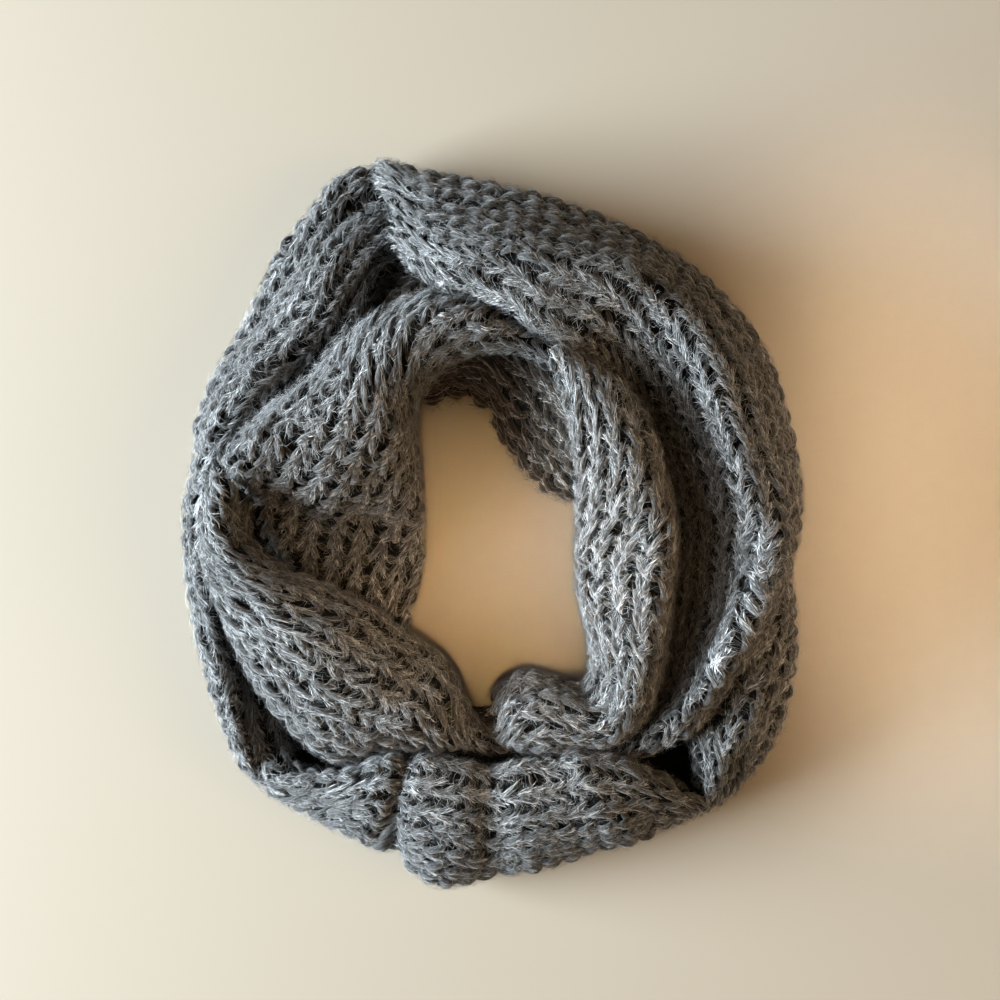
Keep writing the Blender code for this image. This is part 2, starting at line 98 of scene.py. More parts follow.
# %% Sections of the outer right stretch
OUTER_RIGHT_LINES = ("tuck", "edge", "crest", "shoulder", "side", "foot")
OUTER_RIGHT = (
    # bearing  tuck        edge        crest       shoulder    side        foot
    (109.6, 138, 61, 139, 65, 154, 60, 181, 40, 202, 20, 195, 13),
    (107.5, 136, 64, 134.5, 71, 152, 67, 179, 47, 202, 25, 195, 14),
    (105, 130, 66, 125, 76, 144, 76, 173, 55, 196, 27, 189, 14),
    (102, 125, 68, 120, 80, 137, 83, 167, 62, 190, 28, 183, 15),
    (97, 122, 70, 116, 83, 131, 88, 159, 69, 184, 29, 177, 15),
    (88, 112, 73, 107, 86, 128, 90, 153, 73, 175, 31, 168, 15),
    (83, 107, 72, 101, 85, 128, 89, 151, 73, 172, 31, 165, 15),
    (78, 102, 70, 98, 83, 129, 88, 149, 73, 169, 31, 162, 15),
    (70, 99, 62, 98, 76, 131, 87, 149, 72, 166, 31, 159, 15),
    (62, 97, 48, 98, 60, 132, 85, 148, 71, 164, 32, 157, 15),
    (50, 93, 33, 95, 44, 130, 82, 147, 69, 164, 32, 157, 15),
    (36, 88, 26, 90, 37, 121, 79, 142, 67, 159, 33, 152, 15),
    (22, 86, 23, 88, 34, 116, 77, 134, 67, 151, 34, 144, 16),
    (8, 85, 22, 87, 33, 117, 76, 131, 67, 145, 38, 139, 22),
    (-6, 86, 21, 88, 32, 117, 74, 128, 66, 136, 47, 130, 34),
    (-20, 89, 20, 91, 31, 115, 71, 123, 65, 127, 54, 121, 44),
    (-34, 97, 20, 99, 31, 113, 65, 120, 60, 125, 51, 118, 42),
    (-46, 104, 20, 106, 30, 112, 57, 119, 54, 125, 47, 119, 38),
    (-56, 104, 17, 105, 26, 112, 43, 117, 41, 122, 34, 117, 26),
    (-64, 100, 12, 102, 19, 110, 31, 115, 30, 120, 24, 115, 17),
)
print("outer right:", len(OUTER_RIGHT), "sections of", len(OUTER_RIGHT_LINES), "lines")

# %% [markdown]
# ### Inner right
# The inner half of the same run lies beyond a lengthwise crease. It stands steeply at the
# hole, and its lower end curls over.

# %% Sections of the inner right stretch
INNER_RIGHT_LINES = ("tuck", "edge", "crest", "side", "foot")
INNER_RIGHT = (
    # bearing  tuck       edge       crest      side        foot
    (77, 92, 74, 88, 82, 92, 86, 96, 83, 96.5, 74),
    (70, 79, 70, 76, 79, 87, 87, 95, 81, 96.5, 66),
    (62, 66, 66, 62, 76, 82, 88, 94, 77, 96, 53),
    (52, 56, 60, 52, 72, 77, 88, 91, 74, 93, 41),
    (42, 49, 54, 45, 68, 73, 88, 87.5, 72, 89, 36),
    (30, 44, 48, 39, 65, 69, 87, 83, 70, 86, 33),
    (15, 41, 40, 35.5, 62, 66, 86, 80, 68, 84, 31),
    (0, 40, 33, 34, 60, 65, 85, 79.5, 67, 83.5, 30),
    (-15, 42, 29, 36, 58, 66, 83, 80.5, 65, 85, 29),
    (-28, 46, 27, 40, 56, 70, 79, 86, 62, 91.5, 29),
    (-40, 55, 25, 49, 53, 79, 74, 95.5, 58, 99, 32),
    (-50, 70, 20, 65, 47, 89, 69, 103, 55, 103.5, 38),
    (-60, 80, 14, 77, 41, 94, 63, 106, 52, 103, 40),
    (-70, 72, 12, 68, 40, 85, 61, 101, 50, 101, 37),
    (-80, 66, 10, 62, 38, 80, 60, 98, 48, 99, 35),
    (-88, 68, 10, 65, 37, 80, 56, 95, 45, 97, 33),
    (-94, 73, 16, 71, 31, 80, 44, 91, 38, 93, 30),
)
print("inner right:", len(INNER_RIGHT), "sections of", len(INNER_RIGHT_LINES), "lines")

# %% [markdown]
# ### Lower right
# A lower stretch bulges out from under the right side, close to the floor.

# %% Sections of the lower right stretch
LOWER_RIGHT_LINES = ("tuck", "under", "crest", "side", "foot")
LOWER_RIGHT = (
    # bearing  tuck        under       crest       side        foot
    (11, 108, 9, 118, 13, 127, 14, 135, 10, 130, 2),
    (4, 108, 13, 118, 18, 129, 19, 139, 11, 133, 2),
    (-6, 106, 18, 118, 24, 131, 26, 146, 14, 140, 2),
    (-14, 106, 24, 118, 31, 133, 36, 151, 18, 145, 2),
    (-20, 106, 28, 118, 35, 135, 41, 156, 20, 150, 2),
    (-28, 106, 30, 118, 36, 140, 45, 162, 21, 156, 2),
    (-36, 108, 29, 120, 35, 143, 46, 167, 21, 161, 2),
    (-43, 118, 28, 126, 36, 145, 45, 168, 21, 162, 2),
    (-48, 138, 28, 140, 37, 150, 42, 168, 21, 162, 2),
    (-51.5, 152, 16, 153, 25, 159, 31, 168, 20, 163, 2),
)
print("lower right:", len(LOWER_RIGHT), "sections of", len(LOWER_RIGHT_LINES), "lines")

# %% [markdown]
# ### Bottom
# The run across the bottom carries the join of the band and lies over both its neighbours.

# %% Sections of the bottom stretch
BOTTOM_LINES = ("tuck", "edge", "crest", "shoulder", "side", "foot")
BOTTOM = (
    # bearing  tuck        edge        crest       shoulder    side        foot
    (-52.2, 156, 16, 154, 25, 159, 31, 164, 29, 167, 19, 162, 2),
    (-55, 140, 24, 136, 38, 142, 43, 154, 38, 165, 20, 159, 2),
    (-60, 122, 34, 117, 47, 126, 53, 146, 44, 162.5, 20, 156.5, 2),
    (-68, 111, 37, 106, 50, 118, 57, 141, 49, 159, 21, 153, 2),
    (-78, 107, 38, 102, 51, 115, 59, 140, 50, 160, 21, 154, 2),
    (-90, 107, 38, 101, 52, 114, 60, 144, 51, 168, 21, 162, 2),
    (-102, 108, 38, 103, 53, 116, 61, 146, 51, 171, 21, 165, 2),
    (-112, 111, 38, 106, 53, 120, 60, 144, 49, 165, 21, 159, 2),
    (-120, 119, 36, 114, 50, 126, 57, 147, 47, 165, 21, 159, 2),
    (-127, 139, 28, 135, 42, 141, 48, 152, 43, 167, 21, 161, 2),
    (-134, 150, 22, 149, 31, 155, 38, 162, 37, 171, 21, 165, 2),
    (-138.3, 147, 16, 151, 23, 158, 29, 165, 33, 172, 21, 166, 2),
)
print("bottom:", len(BOTTOM), "sections of", len(BOTTOM_LINES), "lines")

# %% [markdown]
# ### Outer left
# The outer run climbs the left side to the peak, with a pleat folded along it.

# %% Sections of the outer left stretch
OUTER_LEFT_LINES = ("tuck", "lip", "pleat", "dip", "rim", "side", "foot")
OUTER_LEFT = (
    # bearing  tuck        lip         pleat       dip         rim         side        foot
    (221, 140, 9, 146, 15, 152, 23, 158, 29, 165, 33, 172, 21, 166, 2),
    (217, 136, 10, 142, 14, 148, 22, 154, 29, 162, 35, 170.5, 21, 164.5, 2),
    (212, 130, 11, 136, 14, 142, 20, 148, 28, 157, 36, 167, 22, 161, 2),
    (202, 120, 13, 128, 16, 136, 24, 143, 33, 151, 41, 162, 23, 156, 2),
    (192, 121, 20, 127, 26, 133, 32, 140, 38, 148, 43, 160, 24, 154, 2),
    (182, 125, 28, 129, 32, 134, 36, 141, 40, 149, 41, 160, 24, 154, 2),
    (172, 126, 34, 130, 39, 135, 43, 142, 45, 150, 43, 162, 24, 156, 2),
    (162, 122, 42, 129, 47, 137, 51, 143, 52, 150, 49, 162, 24, 156, 2),
    (152, 118, 44, 126, 50, 134, 54, 143, 55, 152, 50, 165, 24, 159, 2),
    (142, 112, 44, 120, 50, 132, 54, 144, 54, 155, 47, 168, 24, 162, 2),
    (134, 112, 42, 121, 50, 136, 54, 149, 51, 161, 43, 174, 24, 168, 2),
    (127, 119, 38, 126, 50, 146, 56, 162, 49, 172, 40, 184, 24, 178, 2),
    (120, 131, 36, 137, 50, 160, 54, 173, 42, 183, 38, 194, 24, 188, 2),
    (114, 141, 34, 147, 49, 167, 48, 180, 35, 192, 36, 203, 22, 197, 2),
    (110.1, 142, 31, 148, 43, 166, 43, 179, 32, 190, 33, 202.5, 20, 196.5, 2),
)
print("outer left:", len(OUTER_LEFT), "sections of", len(OUTER_LEFT_LINES), "lines")

# %% [markdown]
# ### Inner left
# This run starts deep in the lower left, widens round the hole and goes under the top of the
# right side.

# %% Sections of the inner left stretch
INNER_LEFT_LINES = ("tuck", "edge", "slope", "crest", "ridge", "foot")
INNER_LEFT = (
    # bearing  tuck      edge      slope      crest      ridge       foot
    (76, 90, 44, 87, 54, 91, 62, 97, 64, 105, 56, 110, 46),
    (84, 95, 50, 91, 61, 94, 69, 99, 71, 107, 63, 112, 53),
    (92, 96, 52, 92, 64, 95, 73, 101, 79, 111, 73, 118, 62),
    (100, 96, 51, 92, 63, 95, 74, 105, 82, 117, 76, 123, 62),
    (107, 94, 48, 90, 60, 95, 75, 106, 83, 119, 76, 126, 62),
    (116, 90, 38, 86, 50, 91, 72, 105, 82, 119, 76, 127, 63),
    (122, 84, 25, 80, 40, 86, 68, 103, 81, 118, 76, 126, 63),
    (128, 77, 16, 71.5, 34, 80, 64, 100, 79, 116, 75, 124, 62),
    (136, 65, 11, 59, 31, 74, 60, 99, 77, 115, 74, 123, 61),
    (146, 56, 9, 50, 28, 70, 55, 102, 74, 120, 73, 128, 60),
    (158, 50, 8, 44.5, 25, 67, 47, 107, 66, 128, 71, 137, 58),
    (163, 49, 7, 43.5, 23, 66, 41, 107, 58, 129, 68, 138, 58),
    (168, 48, 7, 43, 20, 65, 32, 104, 43, 117, 49, 124, 46),
    (174, 47, 6, 42, 17, 63, 26, 97, 33, 113, 38, 121, 34),
    (182, 46, 5, 42, 14, 61, 21, 91, 26, 108, 29, 117, 24),
    (192, 47, 5, 44, 12, 60, 17, 84, 21, 99, 21, 108, 16),
    (202, 50, 5, 48, 10, 61, 14, 77, 19, 88, 19, 96, 14),
    (214, 58, 5, 58, 8, 68, 12, 78, 15, 86, 15, 92, 11),
    (226, 68, 5, 71, 7, 75, 9, 80, 11, 85, 11, 90, 8),
)
print("inner left:", len(INNER_LEFT), "sections of", len(INNER_LEFT_LINES), "lines")

# %% [markdown]
# ### Lower left
# A full roll lies between the left side and the bottom.

# %% Sections of the lower left stretch
LOWER_LEFT_LINES = ("tuck", "edge", "crest", "side", "foot")
LOWER_LEFT = (
    # bearing  tuck       edge       crest      side        foot
    (166, 131, 62, 129, 68, 134, 72, 140, 66, 140, 58),
    (172, 127, 52, 127, 64, 133, 72, 142, 61, 139, 49),
    (178, 121, 48, 120, 62, 130, 72, 143, 58, 139, 46),
    (184, 108, 46, 105, 60, 122, 73, 142, 56, 138, 44),
    (190, 94, 43, 88, 56, 115, 73, 139, 53, 135, 40),
    (197, 84, 39, 77, 52, 110, 72, 138, 49, 134, 34),
    (207, 74, 35, 67, 49, 106, 71, 137, 46, 132, 29),
    (218, 71, 31, 64, 46, 103, 70, 136, 44, 131, 27),
    (225, 68, 27, 62, 45, 99, 69, 135, 43, 130, 26),
    (231, 67, 25, 61, 44, 94, 67, 133, 41, 129, 26),
    (237, 67, 24, 61, 44, 89, 66, 115, 46, 116, 31),
    (242, 67, 23, 62, 44, 86, 65, 108, 48, 111, 32),
    (251, 74, 22, 70, 45, 86, 60, 102, 46, 105, 31),
    (260, 86, 20, 84, 36, 91, 47, 98, 41, 101, 31),
)
print("lower left:", len(LOWER_LEFT), "sections of", len(LOWER_LEFT_LINES), "lines")

# %% [markdown]
# ### Upper inner
# A sheltered layer hangs down at the upper edge of the hole.

# %% Sections of the upper inner stretch
UPPER_INNER_LINES = ("hem", "toe", "middle", "top")
UPPER_INNER = (
    # bearing  hem      toe      middle     top
    (22, 44, 5, 47, 12, 50, 20, 53, 28),
    (29, 42, 5, 46, 14, 50, 26, 54, 38),
    (40, 37, 5, 42, 16, 49, 31, 56, 45),
    (52, 33, 5, 41, 18, 51, 35, 61, 51),
    (64, 34, 5, 46, 20, 60, 37, 73, 51),
    (75, 36, 5, 52, 20, 69, 37, 84, 48),
    (84, 44, 5, 59, 20, 76, 34, 92, 43),
    (92, 53, 5, 66, 18, 80, 33, 94, 44),
    (96, 64, 5, 73, 17, 83, 32, 94, 44),
    (104, 75, 5, 81, 17, 88, 30, 95, 42),
    (112, 78, 5, 83, 14, 88, 24, 93, 33),
    (118, 79, 5, 82, 11, 86, 18, 90, 24),
)
print("upper inner:", len(UPPER_INNER), "sections of", len(UPPER_INNER_LINES), "lines")

# %% [markdown]
# ## Creases
# Soft troughs and ridges finish the form. Each is a line across the stretch, named by its
# bearings and by its share of the way across (0 = hole side, 1 = outer side), with how far
# it rises (or sinks, when negative) and how wide it is, in millimetres.

# %% Creases of each stretch
CREASES = {
    # stretch: (bearing, share, bearing, share, rise, half width)
    "outer_right": (
        (104, 0.52, 70, 0.60, -2.5, 9),
        (84, 0.30, 66, 0.42, 2.5, 8),
        (58, 0.62, 20, 0.70, -2.5, 9),
        (34, 0.50, 8, 0.52, -2.5, 8),
        (2, 0.57, -28, 0.60, 5.0, 9),
        (-4, 0.78, -40, 0.76, -2.0, 7),
        (92, 0.72, 60, 0.80, 2.0, 10),
    ),
    "inner_right": (
        (48, 0.52, 18, 0.60, -2.0, 7),
        (10, 0.45, -22, 0.52, -2.0, 7),
        (-62, 0.30, -84, 0.45, -2.5, 6),
        (58, 0.59, 6, 0.60, 3.5, 8),
        (0, 0.60, -36, 0.61, 2.0, 8),
        (60, 0.75, -40, 0.77, -2.5, 9),
    ),
    "lower_right": (
        (-4, 0.42, -30, 0.52, -2.5, 7),
        (-26, 0.62, -48, 0.50, -2.5, 7),
    ),
    "bottom": (
        (-116, 0.05, -108, 1.00, -6.5, 4),
        (-102, 0.60, -101, 1.00, 2.0, 7),
        (-94, 0.15, -90, 0.95, -4.5, 10),
        (-71, 0.20, -66, 0.75, 2.5, 9),
        (-122, 0.55, -134, 0.45, -2.5, 7),
    ),
    "left_outer": (
        (140, 0.62, 112, 0.58, -3.0, 8),
        (222, 0.30, 200, 0.30, -2.0, 8),
        (198, 0.50, 165, 0.60, -2.5, 8),
        (158, 0.72, 128, 0.78, 2.5, 9),
        (130, 0.30, 113, 0.30, -3.0, 7),
        (112, 0.14, 138, 0.20, -6.0, 6),
        (140, 0.22, 166, 0.22, -4.5, 7),
    ),
    "left_inner": (
        (150, 0.45, 185, 0.40, -2.5, 9),
        (114, 0.87, 150, 0.87, -3.5, 10),
        (96, 0.60, 120, 0.72, 2.0, 7),
        (168, 0.60, 205, 0.55, 2.5, 9),
        (134, 0.50, 164, 0.52, 4.5, 13),
    ),
    "lower_left": (
        (192, 0.60, 214, 0.62, -1.5, 7),
        (204, 0.36, 224, 0.34, 3.0, 11),
        (205, 0.72, 240, 0.62, 2.0, 7),
        (236, 0.42, 252, 0.50, -2.5, 6),
    ),
    "upper_inner": (
        (36, 0.50, 78, 0.45, -2.0, 6),
    ),
}
print("creases:", sum(len(rows) for rows in CREASES.values()))

# %% [markdown]
# ## Curves
# A smooth curve goes through the named lines of a section, and a second one carries each
# line from section to section. Blender's own curves could do it, but plain numbers are
# easier to measure along, and the yarn needs many measures.

# %% Curves through the tables
FINE = 160                  # steps along a section before it is cut into even ones


def spline(knots, values, at):
    """Smooth curve through the knots: cubic pieces whose slopes come from the neighbours."""
    knots = np.asarray(knots, float)
    values = np.asarray(values, float)
    slopes = np.gradient(values, knots, axis=0)
    index = np.clip(np.searchsorted(knots, at, side="right") - 1, 0, len(knots) - 2)
    span = knots[index + 1] - knots[index]
    t = ((at - knots[index]) / span)[:, None]
    span = span[:, None]
    a, b = values[index], values[index + 1]
    da, db = slopes[index] * span, slopes[index + 1] * span
    return (a * (1 + 2 * t) * (1 - t) ** 2 + da * t * (1 - t) ** 2
            + b * t * t * (3 - 2 * t) + db * t * t * (t - 1))


def even_section(points, count):
    """The named points of one section joined by a smooth curve, cut into even steps."""
    steps = np.sqrt(np.linalg.norm(np.diff(points, axis=0), axis=1))
    knots = np.concatenate([[0.0], np.cumsum(steps)])
    fine = spline(knots, points, np.linspace(0, knots[-1], FINE))
    lengths = np.concatenate([[0.0], np.cumsum(np.linalg.norm(np.diff(fine, axis=0), axis=1))])
    wanted = np.linspace(0, lengths[-1], count)
    return np.stack([np.interp(wanted, lengths, fine[:, k]) for k in range(2)], axis=1)


def unit(vectors):
    """The same directions, each one long."""
    return vectors / np.maximum(np.linalg.norm(vectors, axis=-1, keepdims=True), 1e-9)


print("curves go through", len(OUTER_RIGHT), "sections on the outer right")

# %% [markdown]
# ## Sheets
# A sheet is one stretch of the band as a fine grid. It can be asked for any of its points, for
# a point a little off its face, and for how far the cloth runs there. A cloth simulation gives
# a mesh that looks the same, but it can't say where along the band a point lies, and the yarn
# has to know.

# %% A sheet that can be asked for its points
ALONG = 201                 # points of a sheet along the band
ACROSS = 61                 # and across it
ROUND = 130 * MM            # radius at which a crease's bearings become distances
PAST_EDGE = 0.02            # how far past its edges a sheet may be asked, as a share of it


class Sheet:
    """A stretch of the band: points and outward directions on an even grid."""

    def __init__(self, lines, rows, creases=()):
        rows = sorted(rows)
        bearings = np.array([row[0] for row in rows], float)
        sections = np.array([row[1:] for row in rows], float)
        self.bearings = np.linspace(bearings[0], bearings[-1], ALONG)
        between = spline(bearings, sections, self.bearings).reshape(ALONG, len(lines), 2)
        self.points = np.zeros((ALONG, ACROSS, 3))
        for i, bearing in enumerate(self.bearings):
            section = even_section(between[i], ACROSS) * MM
            turn = math.radians(bearing)
            self.points[i, :, 0] = HOLE_X + section[:, 0] * math.cos(turn)
            self.points[i, :, 1] = HOLE_Y + section[:, 0] * math.sin(turn)
            self.points[i, :, 2] = section[:, 1]
        self.measure()
        for crease in creases:
            self.points += self.normals * self.rise_of(*crease)[:, :, None]
        self.measure()

    def measure(self):
        """Outward directions, and how long and wide the sheet is everywhere."""
        forward = np.gradient(self.points, axis=0)
        outward = np.gradient(self.points, axis=1)
        self.normals = unit(np.cross(outward, forward))
        steps = np.linalg.norm(np.diff(self.points, axis=1), axis=2)
        self.width = steps.sum(axis=1)
        self.pace = np.linalg.norm(forward, axis=2) * (ALONG - 1)
        self.length = float(self.pace.mean())

    def rise_of(self, bearing_a, share_a, bearing_b, share_b, rise, half_width):
        """How far one crease lifts each point, fading out to both sides and both ends."""
        width = self.width.mean()
        along = np.radians(self.bearings) * ROUND
        across = np.linspace(0, 1, ACROSS) * width
        here = np.stack(np.meshgrid(along, across, indexing="ij"), axis=2)
        start = np.array([math.radians(bearing_a) * ROUND, share_a * width])
        end = np.array([math.radians(bearing_b) * ROUND, share_b * width])
        way = end - start
        t = np.clip(((here - start) @ way) / (way @ way), 0, 1)
        away = np.linalg.norm(here - start - t[:, :, None] * way, axis=2)
        return rise * MM * np.exp(-(away / (half_width * MM)) ** 2)

    def read(self, grid, u, share):
        """Values of a grid at u along and share across, both 0 to 1."""
        i = np.clip((u * (ALONG - 1)).astype(int), 0, ALONG - 2)
        j = np.clip((share * (ACROSS - 1)).astype(int), 0, ACROSS - 2)
        a = u * (ALONG - 1) - i
        b = share * (ACROSS - 1) - j
        if grid.ndim == 3:
            a, b = a[..., None], b[..., None]
        return ((grid[i, j] * (1 - a) + grid[i + 1, j] * a) * (1 - b)
                + (grid[i, j + 1] * (1 - a) + grid[i + 1, j + 1] * a) * b)

    def width_at(self, u):
        """Width of the stretch at u along it."""
        return np.interp(u, np.linspace(0, 1, ALONG), self.width)

    def pace_at(self, u, across):
        """Metres along the cloth for the whole of u, at a distance across."""
        return self.read(self.pace, u, np.clip(across / self.width_at(u), 0, 1))

    def spots(self, u, across, height):
        """Places at u along, a distance across from the hole side, and a height off it."""
        share = np.clip(across / self.width_at(u), -PAST_EDGE, 1 + PAST_EDGE)
        u = np.clip(u, -PAST_EDGE, 1 + PAST_EDGE)
        points = self.read(self.points, u, share)
        places = points + unit(self.read(self.normals, u, share)) * height[..., None]
        places[..., 2] = np.maximum(places[..., 2], CLEAR)
        return places

    def laid(self, u, across, pace, forward, sideways, up):
        """Copies of a small shape: each at its own u and distance across, with its offsets."""
        return self.spots(u[:, None] + forward / pace[:, None], across[:, None] + sideways, up)


print("a sheet has", ALONG * ACROSS, "points")

# %% [markdown]
# ## The eight stretches
# Each stretch dresses one solid of the frame, from the same table. Two of them go on a little
# way under their neighbours, past the ends of their solids, so that no cut edge is in sight.

# %% Make the sheets
STRETCHES = (
    # stretch       lines              rows         replaces            material slot
    ("outer_right", OUTER_RIGHT_LINES, OUTER_RIGHT, "outer_right_band", "charcoal_knit"),
    ("inner_right", INNER_RIGHT_LINES, INNER_RIGHT, "inner_right_band", "charcoal_knit"),
    ("lower_right", LOWER_RIGHT_LINES, LOWER_RIGHT, "lower_right_bulge", "charcoal_knit"),
    ("bottom", BOTTOM_LINES, BOTTOM, "bottom_band", "charcoal_knit"),
    ("left_outer", OUTER_LEFT_LINES, OUTER_LEFT, "left_outer_band", "charcoal_knit"),
    ("left_inner", INNER_LEFT_LINES, INNER_LEFT, "left_inner_band", "charcoal_knit"),
    ("lower_left", LOWER_LEFT_LINES, LOWER_LEFT, "lower_left_roll", "charcoal_knit"),
    ("upper_inner", UPPER_INNER_LINES, UPPER_INNER, "upper_inner_layer", "charcoal_knit_shade"),
)
LOWER_LEFT_TUCK = (
    # bearing  tuck       edge       crest      side        foot
    (267, 89, 18, 88, 29, 93, 39, 98, 37, 101, 28),
    (276, 91, 15, 91, 21, 95, 28, 99, 27, 102, 20),
)
OUTER_LEFT_TUCKS = (
    # bearing  tuck       lip        pleat      dip        rim        side       foot
    (223.5, 141, 8, 147, 11, 152, 17, 158, 23, 165, 27, 170.5, 18, 165, 2),
    (107.5, 143, 27, 149, 36, 166, 37, 179, 28, 190, 27, 200, 15, 195, 2),
)
MORE_ROWS = {"lower_left": LOWER_LEFT_TUCK, "left_outer": OUTER_LEFT_TUCKS}
sheets = {name: Sheet(lines, rows + MORE_ROWS.get(name, ()), CREASES[name])
          for name, lines, rows, _, _ in STRETCHES}
for name, sheet in sheets.items():
    print(name, "is", round(sheet.length * 1000), "mm long and up to",
          round(sheet.width.max() * 1000), "mm wide")

# %% [markdown]
# ## Folds that peep out
# Between and under the stretches a little of the lower folds shows: the layered edges at the
# outer foot and round the hole, and the cloth at the bottom of each dark pocket. They need
# yarn too, so each is a small sheet of its own.

# %% Sections of the layered edges
FOOT = (
    # bearing  top  high fold  crease  low fold  ground
    (16, 131, 13, 137, 10, 135, 6, 137, 3, 134, 1),
    (24, 141, 13, 147, 10, 145, 6, 147, 3, 144, 1),
    (36, 148, 13, 154, 10, 152, 6, 154, 3, 151, 1),
    (55, 153, 13, 159, 10, 157, 6, 159, 3, 156, 1),
    (75, 157, 13, 163, 10, 161, 6, 163, 3, 160, 1),
    (90, 164, 13, 170, 10, 168, 6, 170, 3, 167, 1),
    (100, 173, 12, 179, 9, 178, 6, 180, 3, 177, 1),
    (106, 178, 8, 184, 6, 183, 4, 184, 2, 182, 1),
)
HOLE_SIDE = (
    # bearing  ground  low fold  crease  high fold  top
    (216, 81, 1, 78, 3, 80, 4, 78, 5, 83, 7),
    (230, 82, 1, 79, 3, 82, 6, 80, 8, 84, 11),
    (242, 78, 1, 75, 4, 78, 8, 76, 12, 80, 17),
    (262, 88, 1, 85, 5, 88, 9, 86, 14, 90, 19),
    (280, 78, 1, 75, 3, 78, 5, 76, 7, 80, 9),
    (302, 88, 1, 85, 3, 88, 6, 86, 9, 90, 13),
    (313, 76, 1, 73, 4, 76, 8, 74, 12, 78, 17),
    (332, 56, 1, 53, 6, 56, 11, 54, 17, 58, 23),
    (345, 49, 1, 46, 6, 49, 12, 47, 19, 51, 25),
    (360, 47, 1, 44, 7, 47, 13, 45, 20, 49, 27),
    (374, 48, 1, 45, 7, 48, 14, 46, 21, 50, 29),
    (384, 49, 1, 46, 7, 49, 13, 47, 19, 51, 26),
)
print("layered edges:", len(FOOT), "and", len(HOLE_SIDE), "sections")

# %% Sections of the cloth in the pockets
TOP_POCKET = (
    # bearing  hole side  middle      outer side
    (104, 96, 44, 120, 49, 142, 38),
    (114, 96, 46, 120, 47, 142, 31),
    (124, 96, 40, 118, 36, 138, 24),
    (132, 96, 34, 114, 28, 132, 20),
)
LEFT_POCKET = (
    # bearing  hole side  middle      outer side
    (222, 108, 17, 124, 18, 138, 16),
    (232, 104, 19, 122, 20, 138, 17),
    (244, 100, 22, 118, 22, 134, 18),
    (254, 98, 23, 114, 23, 130, 19),
)
LEFT_SIDE = (
    # bearing  top     middle   low
    (170, 137, 56, 134, 46, 130, 36),
    (182, 136, 50, 133, 40, 128, 29),
    (192, 132, 43, 129, 33, 124, 23),
    (202, 131, 37, 129, 27, 124, 15),
    (212, 130, 33, 130, 24, 130, 14),
    (222, 129, 31, 130, 22, 134, 12),
)
RIGHT_POCKET = (
    # bearing  hole side  middle      outer side
    (262, 92, 25, 104, 26, 116, 24),
    (282, 90, 23, 102, 25, 114, 24),
    (298, 92, 20, 106, 22, 122, 20),
    (310, 92, 17, 110, 19, 132, 17),
    (320, 92, 18, 110, 19, 132, 16),
)

# %% Make the lower folds
lower_folds = {
    "foot_fold": Sheet(("top", "high", "crease", "low", "ground"), FOOT),
    "hole_fold": Sheet(("ground", "low", "crease", "high", "top"), HOLE_SIDE),
    "top_pocket": Sheet(("hole side", "middle", "outer side"), TOP_POCKET),
    "left_pocket": Sheet(("hole side", "middle", "outer side"), LEFT_POCKET),
    "right_pocket": Sheet(("hole side", "middle", "outer side"), RIGHT_POCKET),
    "left_side": Sheet(("top", "middle", "low"), LEFT_SIDE),
}
for name, sheet in lower_folds.items():
    outward = sheet.normals[ALONG // 2, ACROSS // 2]
    print(name, "is", round(sheet.length * 1000), "mm long, faces", np.round(outward, 1))

# %% [markdown]
# ## Nodes in one line
# A material is easier to read as a few lines of text than as a web of nodes. One small class
# adds a node, sets it up and joins its sockets in one call.

# %% A maker of nodes
class Maker:
    """Adds nodes to one material."""

    def __init__(self, name):
        self.material = bpy.data.materials.new(name)
        self.material.use_nodes = True
        self.tree = self.material.node_tree
        self.shader = self.tree.nodes["Principled BSDF"]

    def node(self, kind, settings=None, **sockets):
        """A node of any type: its settings first, then the values or links of its sockets."""
        made = self.tree.nodes.new(kind)
        for key, value in (settings or {}).items():
            if key == "stops":
                self.set_stops(made.color_ramp, value)
            else:
                setattr(made, key, value)
        for key, value in sockets.items():
            self.feed(made.inputs[key], value)
        return made

    def set_stops(self, ramp, stops):
        """Colours of a ramp, each at its position."""
        while len(ramp.elements) < len(stops):
            ramp.elements.new(0.5)
        for element, (position, colour) in zip(ramp.elements, stops):
            element.position = position
            element.color = (*colour, 1.0)

    def feed(self, socket, value):
        """A link where the value is another node's socket, and otherwise a constant."""
        if isinstance(value, bpy.types.NodeSocket):
            self.tree.links.new(value, socket)
        else:
            socket.default_value = value

    def shade(self, colour, relief, strength, depth):
        """Colour and bump of the finished shader."""
        bump = self.node("ShaderNodeBump", Strength=strength, Distance=depth, Height=relief)
        self.feed(self.shader.inputs["Base Color"], colour)
        self.feed(self.shader.inputs["Normal"], bump.outputs["Normal"])

    def surface(self, **sockets):
        """Plain values of the shader itself."""
        for key, value in sockets.items():
            self.shader.inputs[key.replace("_", " ")].default_value = value


# %% [markdown]
# ## The cloth under the loops, in painted shade
# Deep between the loops the cloth is painted nearly black, with a little fuzz: painted shade
# for the shade that falls deep in the gaps. Two noises do it: a mottle for the colour and a
# finer one for the bump. An image could too, but a noise has no seam and needs no map.

# %% Material of the cloth under the loops
def painted_shade_ground_finish(name, dark, light):
    make = Maker(name)
    place = make.node("ShaderNodeTexCoord").outputs["Object"]
    mottle = make.node("ShaderNodeTexNoise", Vector=place, Scale=260.0, Detail=4.0, Roughness=0.7)
    tone = make.node("ShaderNodeValToRGB", {"stops": ((0.35, dark), (0.72, light))},
                     Fac=mottle.outputs["Fac"])
    fuzz = make.node("ShaderNodeTexNoise", Vector=place, Scale=900.0, Detail=3.0, Roughness=0.8)
    make.shade(tone.outputs["Color"], fuzz.outputs["Fac"], strength=0.8, depth=0.6 * MM)
    make.surface(Roughness=0.95, Specular_IOR_Level=0.2)
    return make.material
